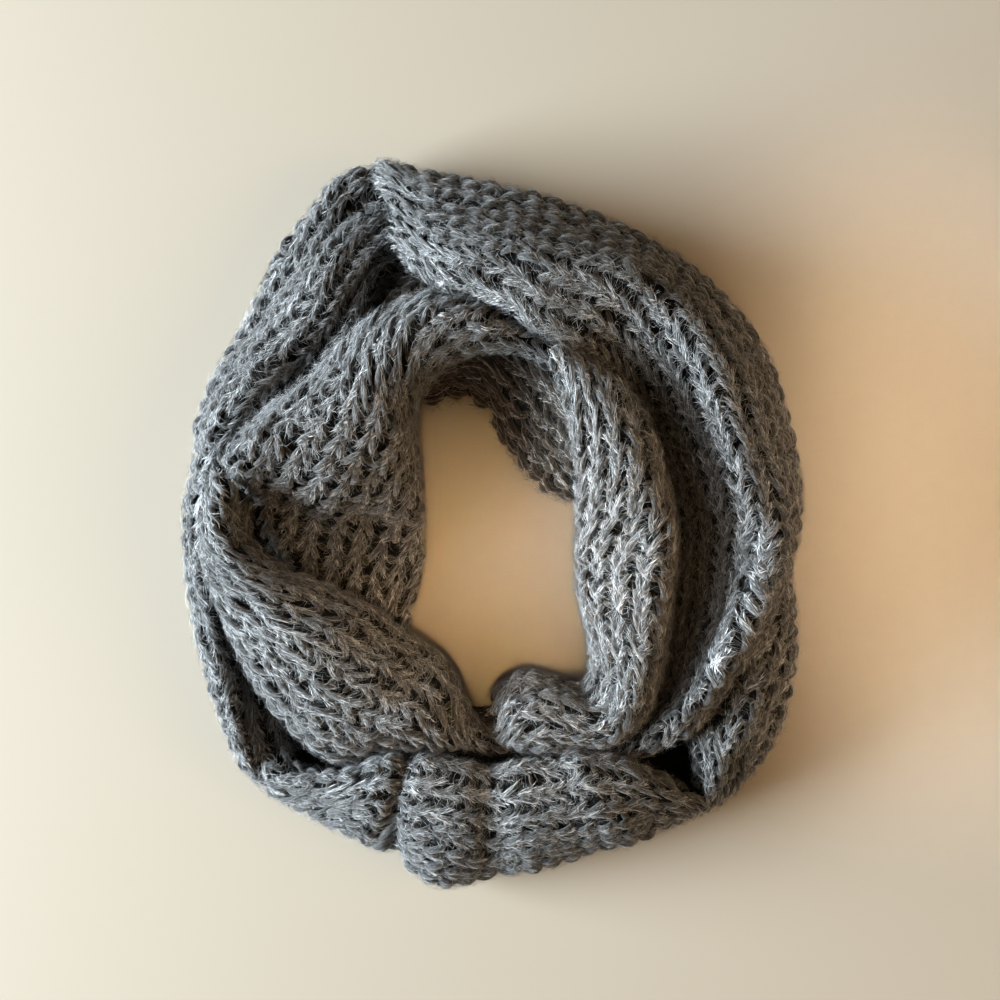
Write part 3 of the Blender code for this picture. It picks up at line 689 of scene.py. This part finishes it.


# Its near-black is painted shade, for the dark between the loops and on the hidden folds.
ground = painted_shade_ground_finish("knit ground, painted shade", dark=(0.006, 0.006, 0.006), light=(0.02, 0.02, 0.02))
print("finish:", ground.name)

# %% [markdown]
# ## The yarn's finish
# The loops are a cool charcoal with paler streaks that run along the yarn. Each loop carries a
# map of its own, so the streaks follow the yarn wherever it goes: one noise, stretched along
# that map, gives both the colour and the bump. A second, darker and browner finish is painted
# shade: it goes on the yarn in sheltered places and on the bars deep in the grooves, standing
# in for the shade there and for the warm light that only gets there off the floor.

# %% Material of the loops
def yarn_finish(name, dark, middle, light):
    """Streaks along the yarn. The map's u runs along the yarn and v round it."""
    make = Maker(name)
    yarn_map = make.node("ShaderNodeUVMap", {"uv_map": "yarn"}).outputs["UV"]
    stretched = make.node("ShaderNodeMapping", {"vector_type": "POINT"}, Vector=yarn_map,
                          Scale=(3.0, 24.0, 1.0))
    streaks = make.node("ShaderNodeTexNoise", Vector=stretched.outputs["Vector"],
                        Scale=1.0, Detail=3.0, Roughness=0.65)
    tone = make.node("ShaderNodeValToRGB",
                     {"stops": ((0.30, dark), (0.52, middle), (0.75, light))},
                     Fac=streaks.outputs["Fac"])
    make.shade(tone.outputs["Color"], streaks.outputs["Fac"], strength=0.7, depth=0.5 * MM)
    make.surface(Roughness=0.95, Specular_IOR_Level=0.1, Sheen_Weight=0.4, Sheen_Roughness=0.5)
    return make.material


yarn = yarn_finish("brushed yarn, charcoal", dark=(0.008, 0.007, 0.006),
                   middle=(0.048, 0.048, 0.048), light=(0.36, 0.37, 0.38))
# Painted shade: darker and browner yarn for the sheets in shade and for the bars in the grooves.
yarn_painted_shade = yarn_finish("brushed yarn, painted shade", dark=(0.007, 0.005, 0.004),
                         middle=(0.032, 0.027, 0.022), light=(0.18, 0.16, 0.135))
print("finishes:", yarn.name, "and", yarn_painted_shade.name)

# %% [markdown]
# ## The hairs' finish
# No two fibres have the same grey. Thousands of materials would be too many, so all the
# hairs of a kind share one, and each hair's own map says where in a palette its tone lies.

# %% Material of the hairs
def hair_finish(name, dull, bright):
    """A palette from dull to bright. The map's u is each hair's own tone."""
    make = Maker(name)
    palette = make.node("ShaderNodeUVMap", {"uv_map": "OFBake"}).outputs["UV"]
    split = make.node("ShaderNodeSeparateXYZ", Vector=palette)
    tone = make.node("ShaderNodeValToRGB", {"stops": ((0.0, dull), (1.0, bright))},
                     Fac=split.outputs["X"])
    make.feed(make.shader.inputs["Base Color"], tone.outputs["Color"])
    make.surface(Roughness=0.55, Specular_IOR_Level=0.4)
    return make.material


# Painted shade: nap on the sheets in shade is darker and browner, for the warm bounced light there.
nap_painted_shade = hair_finish("raised nap, painted shade", dull=(0.012, 0.009, 0.007), bright=(0.27, 0.24, 0.205))
nap = hair_finish("raised nap, grey", dull=(0.012, 0.011, 0.010), bright=(0.70, 0.72, 0.74))
silver = hair_finish("coarse hairs, silver", dull=(0.22, 0.225, 0.23), bright=(0.66, 0.67, 0.68))
print("finishes:", nap_painted_shade.name, "and", nap.name, "and", silver.name)

# %% [markdown]
# ## The cloth under the loops
# A grid from one operator is laid on the sheet's points, then Solidify gives it a wall. It
# lies a little inside the outer face, so that the yarn on it ends up where the cloth's face
# should be, and it dips once for each wale, as a ribbed knit does.

# %% Objects from meshes
def object_of(mesh, material):
    """An object at the origin that shows the mesh, smoothly shaded, in one material."""
    mesh.materials.append(material)
    mesh.shade_smooth()
    piece = bpy.data.objects.new(mesh.name, mesh)
    bpy.context.scene.collection.objects.link(piece)
    return piece


def object_from(maker, name, material):
    """The same from a bmesh, which is freed."""
    mesh = bpy.data.meshes.new(name)
    maker.to_mesh(mesh)
    maker.free()
    return object_of(mesh, material)


# %% Lay a shell on each sheet
SHELL_ROWS = 90             # points of a shell along the band
SHELL_POINTS = 4            # and across it, for each wale
WALL_ROOM = 1.1 * CLOTH     # how high an upward face stays above the floor, to leave its wall room


def flat_size(sheet):
    """Width and length of the stretch laid flat, and its area, in metres."""
    area = float((sheet.pace * sheet.width[:, None]).mean())
    return round(float(sheet.width.max()), 3), round(float(sheet.pace.max(axis=1).mean()), 3), area


def shell_on(name, sheet, material):
    """A thin shell a little inside the sheet's face, with a groove for each wale."""
    across = int(sheet.width.max() / WALE * SHELL_POINTS) + 1
    maker = bmesh.new()
    bmesh.ops.create_grid(maker, x_segments=across - 1, y_segments=SHELL_ROWS - 1, size=1.0)
    u = np.array([(vert.co.y + 1) / 2 for vert in maker.verts])
    share = np.array([(vert.co.x + 1) / 2 for vert in maker.verts])
    distance = share * sheet.width_at(u)
    groove = GROOVE * (0.5 + 0.5 * np.cos(2 * math.pi * distance / WALE))
    places = sheet.spots(u, distance, -SINK - groove)
    facing_up = np.maximum(sheet.read(sheet.normals, u, share)[:, 2], 0)
    places[:, 2] = np.maximum(places[:, 2], CLEAR + WALL_ROOM * facing_up)
    for vert, place in zip(maker.verts, places):
        vert.co = place
    bmesh.ops.recalc_face_normals(maker, faces=maker.faces)
    highest = max(maker.faces, key=lambda face: face.calc_center_median().z)
    if highest.normal.z < 0:
        bmesh.ops.reverse_faces(maker, faces=maker.faces)
    piece = object_from(maker, name, material)
    wall = piece.modifiers.new("cloth wall", "SOLIDIFY")
    wall.thickness = CLOTH
    wall.offset = -1.0
    return piece


# Every shell takes the near-black ground: painted shade between the loops.
for name, _, _, node, slot in STRETCHES:
    shell = shell_on(name + "_cloth", sheets[name], ground)
    width, length, area = flat_size(sheets[name])
    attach(shell, "root")
    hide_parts(node)
    print(shell.name, "flat", width, "x", length, "m, area", round(area, 4))

# %% [markdown]
# ## One leg of a loop
# A knitted loop shows as a V: two legs of yarn that rise side by side out of the loop below.
# A real strand could be swept through every loop, but that takes millions of faces. One leg
# as a stretched ball of a few dozen faces looks the same once both its ends dip under its
# neighbours.

# %% A bead of yarn and a leg
def points_and_faces(maker):
    """Points of a small shape, and for each face the numbers of its points."""
    maker.verts.index_update()
    points = np.array([vert.co for vert in maker.verts])
    faces = [[vert.index for vert in face.verts] for face in maker.faces]
    maker.free()
    return points, faces


def bead(rings):
    """A ball of radius 1 with few faces: x along the yarn, y and z round it."""
    maker = bmesh.new()
    bmesh.ops.create_uvsphere(maker, u_segments=6, v_segments=rings, radius=1.0)
    bmesh.ops.rotate(maker, verts=maker.verts, matrix=Matrix.Rotation(math.pi / 2, 3, "Y"))
    return points_and_faces(maker)


def leg_shape():
    """A bead that stays full towards its ends, as yarn does."""
    points, faces = bead(rings=7)
    points[:, 1:] *= np.maximum(1 - points[:, :1] ** 2, 1e-6) ** -0.18
    return points, faces


LEG_POINTS, LEG_FACES = leg_shape()
print("a leg has", len(LEG_FACES), "faces")

# %% [markdown]
# ## Where the loops lie
# Every wale is a line along its sheet, and the loops sit on it a course apart. Where the
# cloth is stretched round a bend the courses open up, and where it bunches they close. A slow
# wave and a little chance keep the wales from running ruler straight.

# %% Where the loops of a sheet lie
DRIFT = (
    # rise, wave along, wave across, in millimetres
    (0.9, 52, 70),
    (0.6, 27, -41),
)
ASIDE_BY_CHANCE = 0.25      # millimetres
AHEAD_BY_CHANCE = 0.5
ROW_LINE = 0.55             # rows that keep in step are counted along this share of the width
EDGE_ROOM = 0.25            # the last wale keeps this far from the edge, in wales
EDGE_REACH = 0.5            # and is laid until its own line is this far past it


def drift(along, across):
    """Millimetre waves over the cloth, each with a start by chance."""
    total = 0
    for rise, wave_along, wave_across in DRIFT:
        turns = along / (wave_along * MM) + across / (wave_across * MM) + chance.random()
        total = total + rise * MM * np.sin(2 * math.pi * turns)
    return total


def loops_of(sheet, first, in_step):
    """For each loop: u along, distance across, and how long a course is there."""
    stations = np.linspace(0, 1, ALONG)
    found = []
    for wale in range(int(sheet.width.max() / WALE - first + 1.5)):
        across = (wale + first) * WALE
        share = np.clip(across / sheet.width, 0, 1)
        pace = sheet.read(sheet.pace, stations, np.full(ALONG, ROW_LINE) if in_step else share)
        travelled = np.concatenate([[0], np.cumsum((pace[1:] + pace[:-1]) / 2 / (ALONG - 1))])
        rows = max(int(travelled[-1] / COURSE + 0.5), 2)
        u = np.interp((np.arange(rows) + 0.5) / rows * travelled[-1], travelled, stations)
        width = sheet.width_at(u)
        place = np.minimum(across, width - EDGE_ROOM * WALE)
        course = sheet.pace_at(u, place) * np.gradient(u)
        found.append(np.stack([u, place, course])[:, across < width + EDGE_REACH * WALE])
    u, across, course = np.concatenate(found, axis=1)
    along = u * sheet.length
    shifted = across + drift(along, across) + chance.normal(0, ASIDE_BY_CHANCE, len(u)) * MM
    ahead = drift(across, along) + chance.normal(0, AHEAD_BY_CHANCE, len(u)) * MM
    return np.stack([u + ahead / sheet.length, shifted, course], axis=1)


# %% [markdown]
# ## Many copies in one piece
# A few thousand objects would be slow to handle, so the copies of a small shape go into one
# mesh. Its operators made the shape; here its points are only repeated, each copy at its own
# place and with its own map.

# %% Join copies of a small shape
def joined(name, places, faces, material, slot, **maps):
    """One piece from copies x points x 3 places, with its maps as copies x points x 2."""
    copies, points = places.shape[:2]
    corners = np.concatenate([np.asarray(face) for face in faces])
    starts = np.cumsum([0] + [len(face) for face in faces])[:-1]
    shift = (np.arange(copies) * points)[:, None]
    begin = (np.arange(copies) * len(corners))[:, None] + starts[None, :]
    mesh = bpy.data.meshes.new(name)
    mesh.vertices.add(copies * points)
    mesh.vertices.foreach_set("co", places.reshape(-1).astype(np.float32))
    mesh.loops.add(copies * len(corners))
    mesh.loops.foreach_set("vertex_index", (corners[None, :] + shift).reshape(-1).astype(np.int32))
    mesh.polygons.add(copies * len(faces))
    mesh.polygons.foreach_set("loop_start", begin.reshape(-1).astype(np.int32))
    mesh.update(calc_edges=True)
    for map_name, uv in maps.items():
        layer = mesh.uv_layers.new(name=map_name)
        layer.uv.foreach_set("vector", uv[:, corners].reshape(-1).astype(np.float32))
    piece = object_of(mesh, material)
    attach(piece, "root")
    return piece


def streak_map(points, count):
    """The yarn's map: u along it, from a start of its own for each copy, and v round it."""
    along = points[None, :, 0] + chance.uniform(0, 50, (count, 1))
    around = np.arctan2(points[:, 1], points[:, 2]) / math.pi
    return np.stack([along, np.broadcast_to(around, along.shape)], axis=2)


def turned(ahead, aside, angle):
    """Distances ahead and aside after a turn in the face of the cloth."""
    return ahead * np.cos(angle) - aside * np.sin(angle), ahead * np.sin(angle) + aside * np.cos(angle)


# %% [markdown]
# ## Two legs for each loop
# The legs lean apart and bend over, so that each V sits in the one below. Hand-laid yarn is
# never even: length, lean, place and height all change a little by chance.

# %% Lay the legs
LEG_THICK = 1.9 * MM        # radius of the yarn in the middle of a leg
LEG_RISE = 1.8 * MM         # how far the middle of a leg arches up
LEG_SINK = 2.0 * MM         # how far the legs are sunk into the cloth's face
LEG_BEND = 1.8              # how far the ends dip, as a share of the rise
LEG_FLAT = 0.85             # height of the yarn as a share of its width
LEG_LENGTH = 0.66           # half a leg, in courses
LEG_LEAN = 0.40             # how far a leg leans outwards, in radians
LEG_ASIDE = 0.155           # how far it lies beside the middle of its wale, in wales
LEG_UNEVEN = (0.11, 0.25, 0.50 * MM, 0.35 * MM)     # shares of size and lean, place, height
SHORTEST = 0.45             # the shortest course a leg can follow, as a share of a course
THINNEST, FULLEST = 0.6, 1.1    # how far short and long courses change the yarn's thickness
# Sheets in shade: their yarn and nap are painted darker and browner, as painted shade.
PAINTED_SHADE_SHEETS = {"upper_inner", *lower_folds}


def legs_on(name, sheet, loops):
    """Two legs for each loop. Returns each leg's place, for the hairs to follow."""
    side = np.tile([-1.0, 1.0], len(loops))
    u, across, course = [np.repeat(column, 2) for column in loops.T]
    count = len(u)
    in_size, in_lean, in_place, in_height = (chance.normal(0, 1, (count, 4)) * LEG_UNEVEN).T
    size = 1 + in_size
    length = np.maximum(course, SHORTEST * COURSE) * LEG_LENGTH * size
    lean = LEG_LEAN * (1 + in_lean) * side
    middle = across + side * WALE * LEG_ASIDE + in_place
    lift = in_height - LEG_SINK
    t, y, z = LEG_POINTS.T[:, None, :]
    thick = LEG_THICK * np.clip(course / COURSE, THINNEST, FULLEST)[:, None] * size[:, None]
    pace = sheet.pace_at(u, across)
    forward, sideways = turned(t * length[:, None], y * thick, lean[:, None])
    up = LEG_RISE * (1 - LEG_BEND * t ** 2) + z * thick * LEG_FLAT + lift[:, None]
    places = sheet.laid(u, middle, pace, forward, sideways, up)
    # Yarn on the sheets in shade is painted darker and browner: painted shade.
    material, slot = (yarn_painted_shade, "charcoal_knit_shade") if name in PAINTED_SHADE_SHEETS else (yarn, "charcoal_knit")
    joined(name + "_loops", places, LEG_FACES, material, slot, yarn=streak_map(LEG_POINTS, count))
    return np.stack([u, middle, length, lean, pace], axis=1)


# %% [markdown]
# ## The bars between the wales
# Between two columns of Vs a short bar of yarn crosses behind the face, deep in the groove.
# It is dark there, so a bar needs fewer faces than a leg, and some are hidden altogether. Its
# yarn is painted darker and browner than the loops, as painted shade for the groove.

# %% Lay the bars
BAR_POINTS, BAR_FACES = bead(rings=5)
BAR_THICK = 1.5 * MM
BAR_HALF = 3.6 * MM         # half of a bar's length
BAR_DEPTH = 2.6 * MM        # how far a bar lies below the cloth's face
BARS_SEEN = 0.85            # share of the loops that show their bar
BAR_LEAN = 0.45             # how far bars turn by chance, in radians
BAR_UNEVEN = 0.6            # and move aside and in depth, in millimetres
BAR_AHEAD = (0.4, 0.12)     # how far ahead of its loop a bar lies, in courses, and the chance in it


def bars_on(name, sheet, loops):
    """A bar for most loops, across the groove beside its wale."""
    u, across, course = loops.T
    seen = (across + WALE / 2 < sheet.width_at(u)) & (chance.random(len(u)) < BARS_SEEN)
    u, across, course = loops[seen].T
    count = len(u)
    lean = chance.normal(0, BAR_LEAN, count)[:, None]
    middle = across + WALE / 2 + chance.normal(0, BAR_UNEVEN, count) * MM
    x, y, z = BAR_POINTS.T[:, None, :]
    thick = BAR_THICK * np.clip(course / COURSE, THINNEST, FULLEST)[:, None]
    forward, sideways = turned(y * thick, x * BAR_HALF, lean)
    forward = forward + (chance.normal(*BAR_AHEAD, count) * course)[:, None]
    up = z * BAR_THICK - BAR_DEPTH + chance.normal(0, BAR_UNEVEN, count)[:, None] * MM
    places = sheet.laid(u, middle, sheet.pace_at(u, across), forward, sideways, up)
    # The bars take the darker, browner yarn: painted shade deep in the groove.
    joined(name + "_bars", places, BAR_FACES, yarn_painted_shade, "charcoal_knit_shade",
           yarn=streak_map(BAR_POINTS, count))


# %% [markdown]
# ## Knit every sheet
# The rows of a loosely laid stretch keep in step across its wales. Where a stretch is twisted
# round the hole, each wale counts its own rows, so that no loop is squashed on the inside of
# the bend. The lip of the left outer stretch shows, so its first wale starts right at that edge.

# %% Lay the yarn on every sheet
FIRST_WALE = 0.5            # from the hole side to the first wale, in wales
FIRST_WALE_AT_LIP = 0.05
FIRST_WALE_BELOW = 0.7      # the same on the lower folds
IN_STEP = ("outer_right", "bottom", "left_outer", "lower_left")
legs = {}
for name, sheet in lower_folds.items():
    loops = loops_of(sheet, FIRST_WALE_BELOW, in_step=True)
    legs[name] = legs_on(name, sheet, loops)
    print(name, "has", len(loops), "loops")
for name, sheet in sheets.items():
    first = FIRST_WALE_AT_LIP if name == "left_outer" else FIRST_WALE
    loops = loops_of(sheet, first, in_step=name in IN_STEP)
    legs[name] = legs_on(name, sheet, loops)
    bars_on(name, sheet, loops)
    print(name, "has", len(loops), "loops")

# %% [markdown]
# ## Hairs
# Brushing pulls fibres out of the yarn. Most lie flat along their leg as a soft nap, a few
# coarse ones catch the light as silver flecks, and some stand off as a halo. Blender has hair
# curves for this, but only a mesh can be carried on to other tools, so a hair is a narrow
# ribbon of two faces, and thousands of copies are laid where the legs are.

# %% One hair
def hair_shape():
    """A long kite: x from 0 to 1 along it, y from -1 to 1 across, widest in its middle."""
    maker = bmesh.new()
    bmesh.ops.create_circle(maker, cap_ends=True, segments=4, radius=1.0)
    bmesh.ops.scale(maker, verts=maker.verts, vec=(0.5, 1.0, 1.0))
    bmesh.ops.translate(maker, verts=maker.verts, vec=(0.5, 0, 0))
    bmesh.ops.triangulate(maker, faces=maker.faces, quad_method="FIXED")
    return points_and_faces(maker)


HAIR_POINTS, HAIR_FACES = hair_shape()
print("a hair has", len(HAIR_FACES), "faces")

# %% Three kinds of hair
HAIRS = {
    # for each leg:  how many hairs are laid for it
    # long, thin:    least and most length and half width, in millimetres
    # base, tip:     least and most height over the yarn, and how much higher the tip is
    # beside:        how far to both sides of the leg they spread, in halves of its radius
    # scatter, curl: how far they turn off its line and bend, in radians
    # clump:         how unevenly the legs share them
    # tones:         two numbers of a beta draw, from dull to bright
    "nap": {
        "for each leg": 36, "long": (2.5, 6.5), "thin": (0.07, 0.115), "base": (-0.9, 0.6),
        "tip": (-0.3, 0.7), "beside": 0.9, "scatter": 0.32, "curl": 0.25, "clump": 0.3,
        "tones": (0.9, 2.5),
    },
    "flecks": {
        "for each leg": 7, "long": (2.2, 4.8), "thin": (0.10, 0.18), "base": (0.1, 0.8),
        "tip": (-0.2, 0.4), "beside": 0.7, "scatter": 0.14, "curl": 0.06, "clump": 0.7,
        "tones": (1.6, 2.0),
    },
    "halo": {
        "for each leg": 22, "long": (4.0, 9.0), "thin": (0.04, 0.065), "base": (0.0, 0.8),
        "tip": (0.0, 2.2), "beside": 1.9, "scatter": 1.2, "curl": 0.7, "clump": 0.3,
        "tones": (1.3, 2.6),
    },
}
print("hairs for each leg:", {kind: hair["for each leg"] for kind, hair in HAIRS.items()})

# %% [markdown]
# ## Lay the hairs
# Each hair picks a leg by chance, starts somewhere along it and follows its lean. About a
# third of them point the other way. The tip lifts off more and more towards its end.

# %% Hairs on every sheet
STARTS = (-1, 0.7)          # where along its leg a hair may start
BACKWARD = 0.35             # share of the hairs that point the other way
HAIR_BEND = 1.6             # how far the hairs follow the dip of their leg's ends
HAIR_SINK = 0.3 * MM        # how far inside the yarn's face their roots are


def hairs_on(name, sheet, legs, hair, material):
    """Hairs of one kind over one sheet, each beside a leg picked by chance."""
    count = len(legs) * hair["for each leg"]
    favour = np.exp(chance.normal(0, hair["clump"], len(legs)))
    picked = legs[chance.choice(len(legs), count, p=favour / favour.sum())]
    u, middle, length, lean, pace = picked.T
    start = chance.uniform(*STARTS, count) * length
    beside = chance.normal(0, 0.5, count) * LEG_THICK * hair["beside"]
    angle = lean + chance.normal(0, hair["scatter"], count)
    flip = chance.random(count) < BACKWARD
    long = chance.uniform(*hair["long"], count) * MM
    thin = chance.uniform(*hair["thin"], count) * MM
    bend = chance.normal(0, hair["curl"], count)
    t, y, _ = HAIR_POINTS.T[:, None, :]
    turn = angle[:, None] + bend[:, None] * t + math.pi * flip[:, None]
    ahead, aside = turned(start, beside, lean)
    forward, sideways = turned(t * long[:, None], y * thin[:, None], turn)
    arch = LEG_RISE * (1 - HAIR_BEND * np.clip(start / length, -1, 1) ** 2)
    base = arch - HAIR_SINK + chance.uniform(*hair["base"], count) * MM
    up = base[:, None] + chance.uniform(*hair["tip"], count)[:, None] * MM * t ** 1.5
    places = sheet.laid(u, middle, pace, ahead[:, None] + forward, aside[:, None] + sideways, up)
    # A little room at each end keeps every tone off the very edge of the map.
    tone = 0.02 + 0.96 * chance.beta(*hair["tones"], count)
    palette = np.stack([np.broadcast_to(tone[:, None], up.shape),
                        np.broadcast_to(0.1 + 0.8 * t, up.shape)], axis=2)
    piece = joined(name, places, HAIR_FACES, material, "charcoal_knit", OFBake=palette)
    return len(piece.data.polygons)


hair_faces = 0
for name, sheet in {**sheets, **lower_folds}.items():
    # Nap on the sheets in shade takes the painted-shade palette.
    soft = nap_painted_shade if name in PAINTED_SHADE_SHEETS else nap
    for kind, hair in HAIRS.items():
        material = silver if kind == "flecks" else soft
        hair_faces += hairs_on(name + "_" + kind, sheet, legs[name], hair, material)
print("hair faces:", hair_faces)

# %% [markdown]
# ## The layers no one sees
# Under the stretches lie the rest of the folds. Their solid already has the right form, so
# a copy of it is welded, softened and given the near-black ground, which is painted shade,
# rather than built again.

# %% Soften the hidden layers
ROUNDS = 3                  # times the welded copy is smoothed
WELD = 0.01 * MM            # corners nearer than this are one corner
REST = 1.0 * MM             # what lies lower than this keeps flat on the floor
maker = bmesh.new()
maker.from_mesh(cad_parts["hidden_layers"].data)
bmesh.ops.remove_doubles(maker, verts=maker.verts, dist=WELD)
for _ in range(ROUNDS):
    bmesh.ops.smooth_vert(maker, verts=[vert for vert in maker.verts if vert.co.z > REST], factor=0.5,
                          use_axis_x=True, use_axis_y=True, use_axis_z=True)
# The hidden folds take the near-black ground too: painted shade.
folded = object_from(maker, "folded_layers", ground)
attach(folded, "root")
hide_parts("hidden_layers")
print("folded layers:", len(folded.data.polygons), "faces")

# %% [markdown]
# ## Floor
# The scarf lies on a plain pale floor, one square far wider than the view. It is part of the
# stage and not of the scarf.

# %% Floor
FLOOR_HALF = 3.0            # metres from its middle to each side
maker = bmesh.new()
bmesh.ops.create_grid(maker, x_segments=1, y_segments=1, size=FLOOR_HALF)
pale = Maker("pale floor")
pale.feed(pale.shader.inputs["Base Color"], (0.35, 0.31, 0.255, 1.0))
pale.surface(Roughness=0.9)
floor = object_from(maker, "floor", pale.material)
floor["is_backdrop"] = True
print("floor:", 2 * FLOOR_HALF, "m square")

# %% [markdown]
# ## Light
# A wide cool window low on the left does most of the work, with a little sky above it, so the
# folds cast long soft shadows to the right. A weak warm lamp and a warm world stand for the
# room, and two narrow warm lamps for the light that the pale floor gets in the hole and beside
# the scarf. An area lamp is used for each, because its size sets how soft the shadows are.

# %% Lamps
LAMPS = (
    # name, place, aimed at, width, height, watts, colour, spread in degrees
    ("window", (-2.05, -0.12, 0.84), (0, 0, 0.03), 1.5, 0.8, 184.0, (0.82, 0.93, 1.0), 180),
    ("sky", (-1.40, 0.10, 1.40), (0, 0, 0.03), 1.0, 1.0, 15.0, (0.90, 0.96, 1.0), 180),
    ("room", (1.1, -0.25, 0.80), (0, 0, 0.03), 1.0, 1.0, 8.5, (1.0, 0.70, 0.40), 180),
    ("over the hole", (0.004, -0.022, 1.1), (0.004, -0.022, 0.0), 0.08, 0.08, 0.058,
     (1.0, 0.68, 0.38), 12),
    ("bounce beside the scarf", (0.215, 0.025, 1.1), (0.215, 0.025, 0.0), 0.08, 0.26, 0.13,
     (1.0, 0.80, 0.60), 12),
)
for name, place, target, width, height, power, colour, spread in LAMPS:
    data = bpy.data.lights.new(name, "AREA")
    data.shape = "RECTANGLE"
    data.size = width
    data.size_y = height
    data.energy = power
    data.color = colour
    data.spread = math.radians(spread)
    lamp = bpy.data.objects.new(name, data)
    lamp.location = place
    lamp.rotation_euler = (Vector(target) - Vector(place)).to_track_quat("-Z", "Y").to_euler()
    bpy.context.scene.collection.objects.link(lamp)
world = bpy.data.worlds.new("soft room")
world.use_nodes = True
world.node_tree.nodes["Background"].inputs["Color"].default_value = (1.0, 0.70, 0.40, 1.0)
world.node_tree.nodes["Background"].inputs["Strength"].default_value = 0.125
bpy.context.scene.world = world
print("lamps:", [name for name, *_ in LAMPS])

# %% [markdown]
# ## Camera
# The camera looks straight down, so the opening and the winding of the loop both show. Its
# lens follows from its height and from how much floor one pixel should show.

# %% Camera
HEIGHT = 0.60               # above the floor
SEEN_PER_PIXEL = 0.52 * MM  # of the floor
PIXELS = 1000               # width of the picture
SENSOR = 36.0               # millimetres
ASIDE, ABOVE = -2.6 * MM, 23.4 * MM     # from the middle of the hole to the camera's axis
camera_data = bpy.data.cameras.new("camera")
camera_data.sensor_width = SENSOR
camera_data.lens = SENSOR * HEIGHT / (PIXELS * SEEN_PER_PIXEL)
camera = bpy.data.objects.new("camera", camera_data)
camera.location = (HOLE_X + ASIDE, HOLE_Y + ABOVE, HEIGHT)
bpy.context.scene.collection.objects.link(camera)
bpy.context.scene.camera = camera
bpy.context.scene.view_settings.view_transform = "Standard"
bpy.context.scene.view_settings.look = "Medium High Contrast"
print("lens", round(camera_data.lens, 2), "mm")

# %% [markdown]
# ## Measure and finish
# The yarn and the hairs stand a few millimetres off the solids. The dressed scarf's box is
# measured, and how far it has grown past the solids' box is printed.

# %% Sizes, then finish
seen_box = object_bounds()
growth = (seen_box[1] - seen_box[0]) - (cad_box[1] - cad_box[0])
print("grown by", [round(x * 1000, 1) for x in growth], "mm")
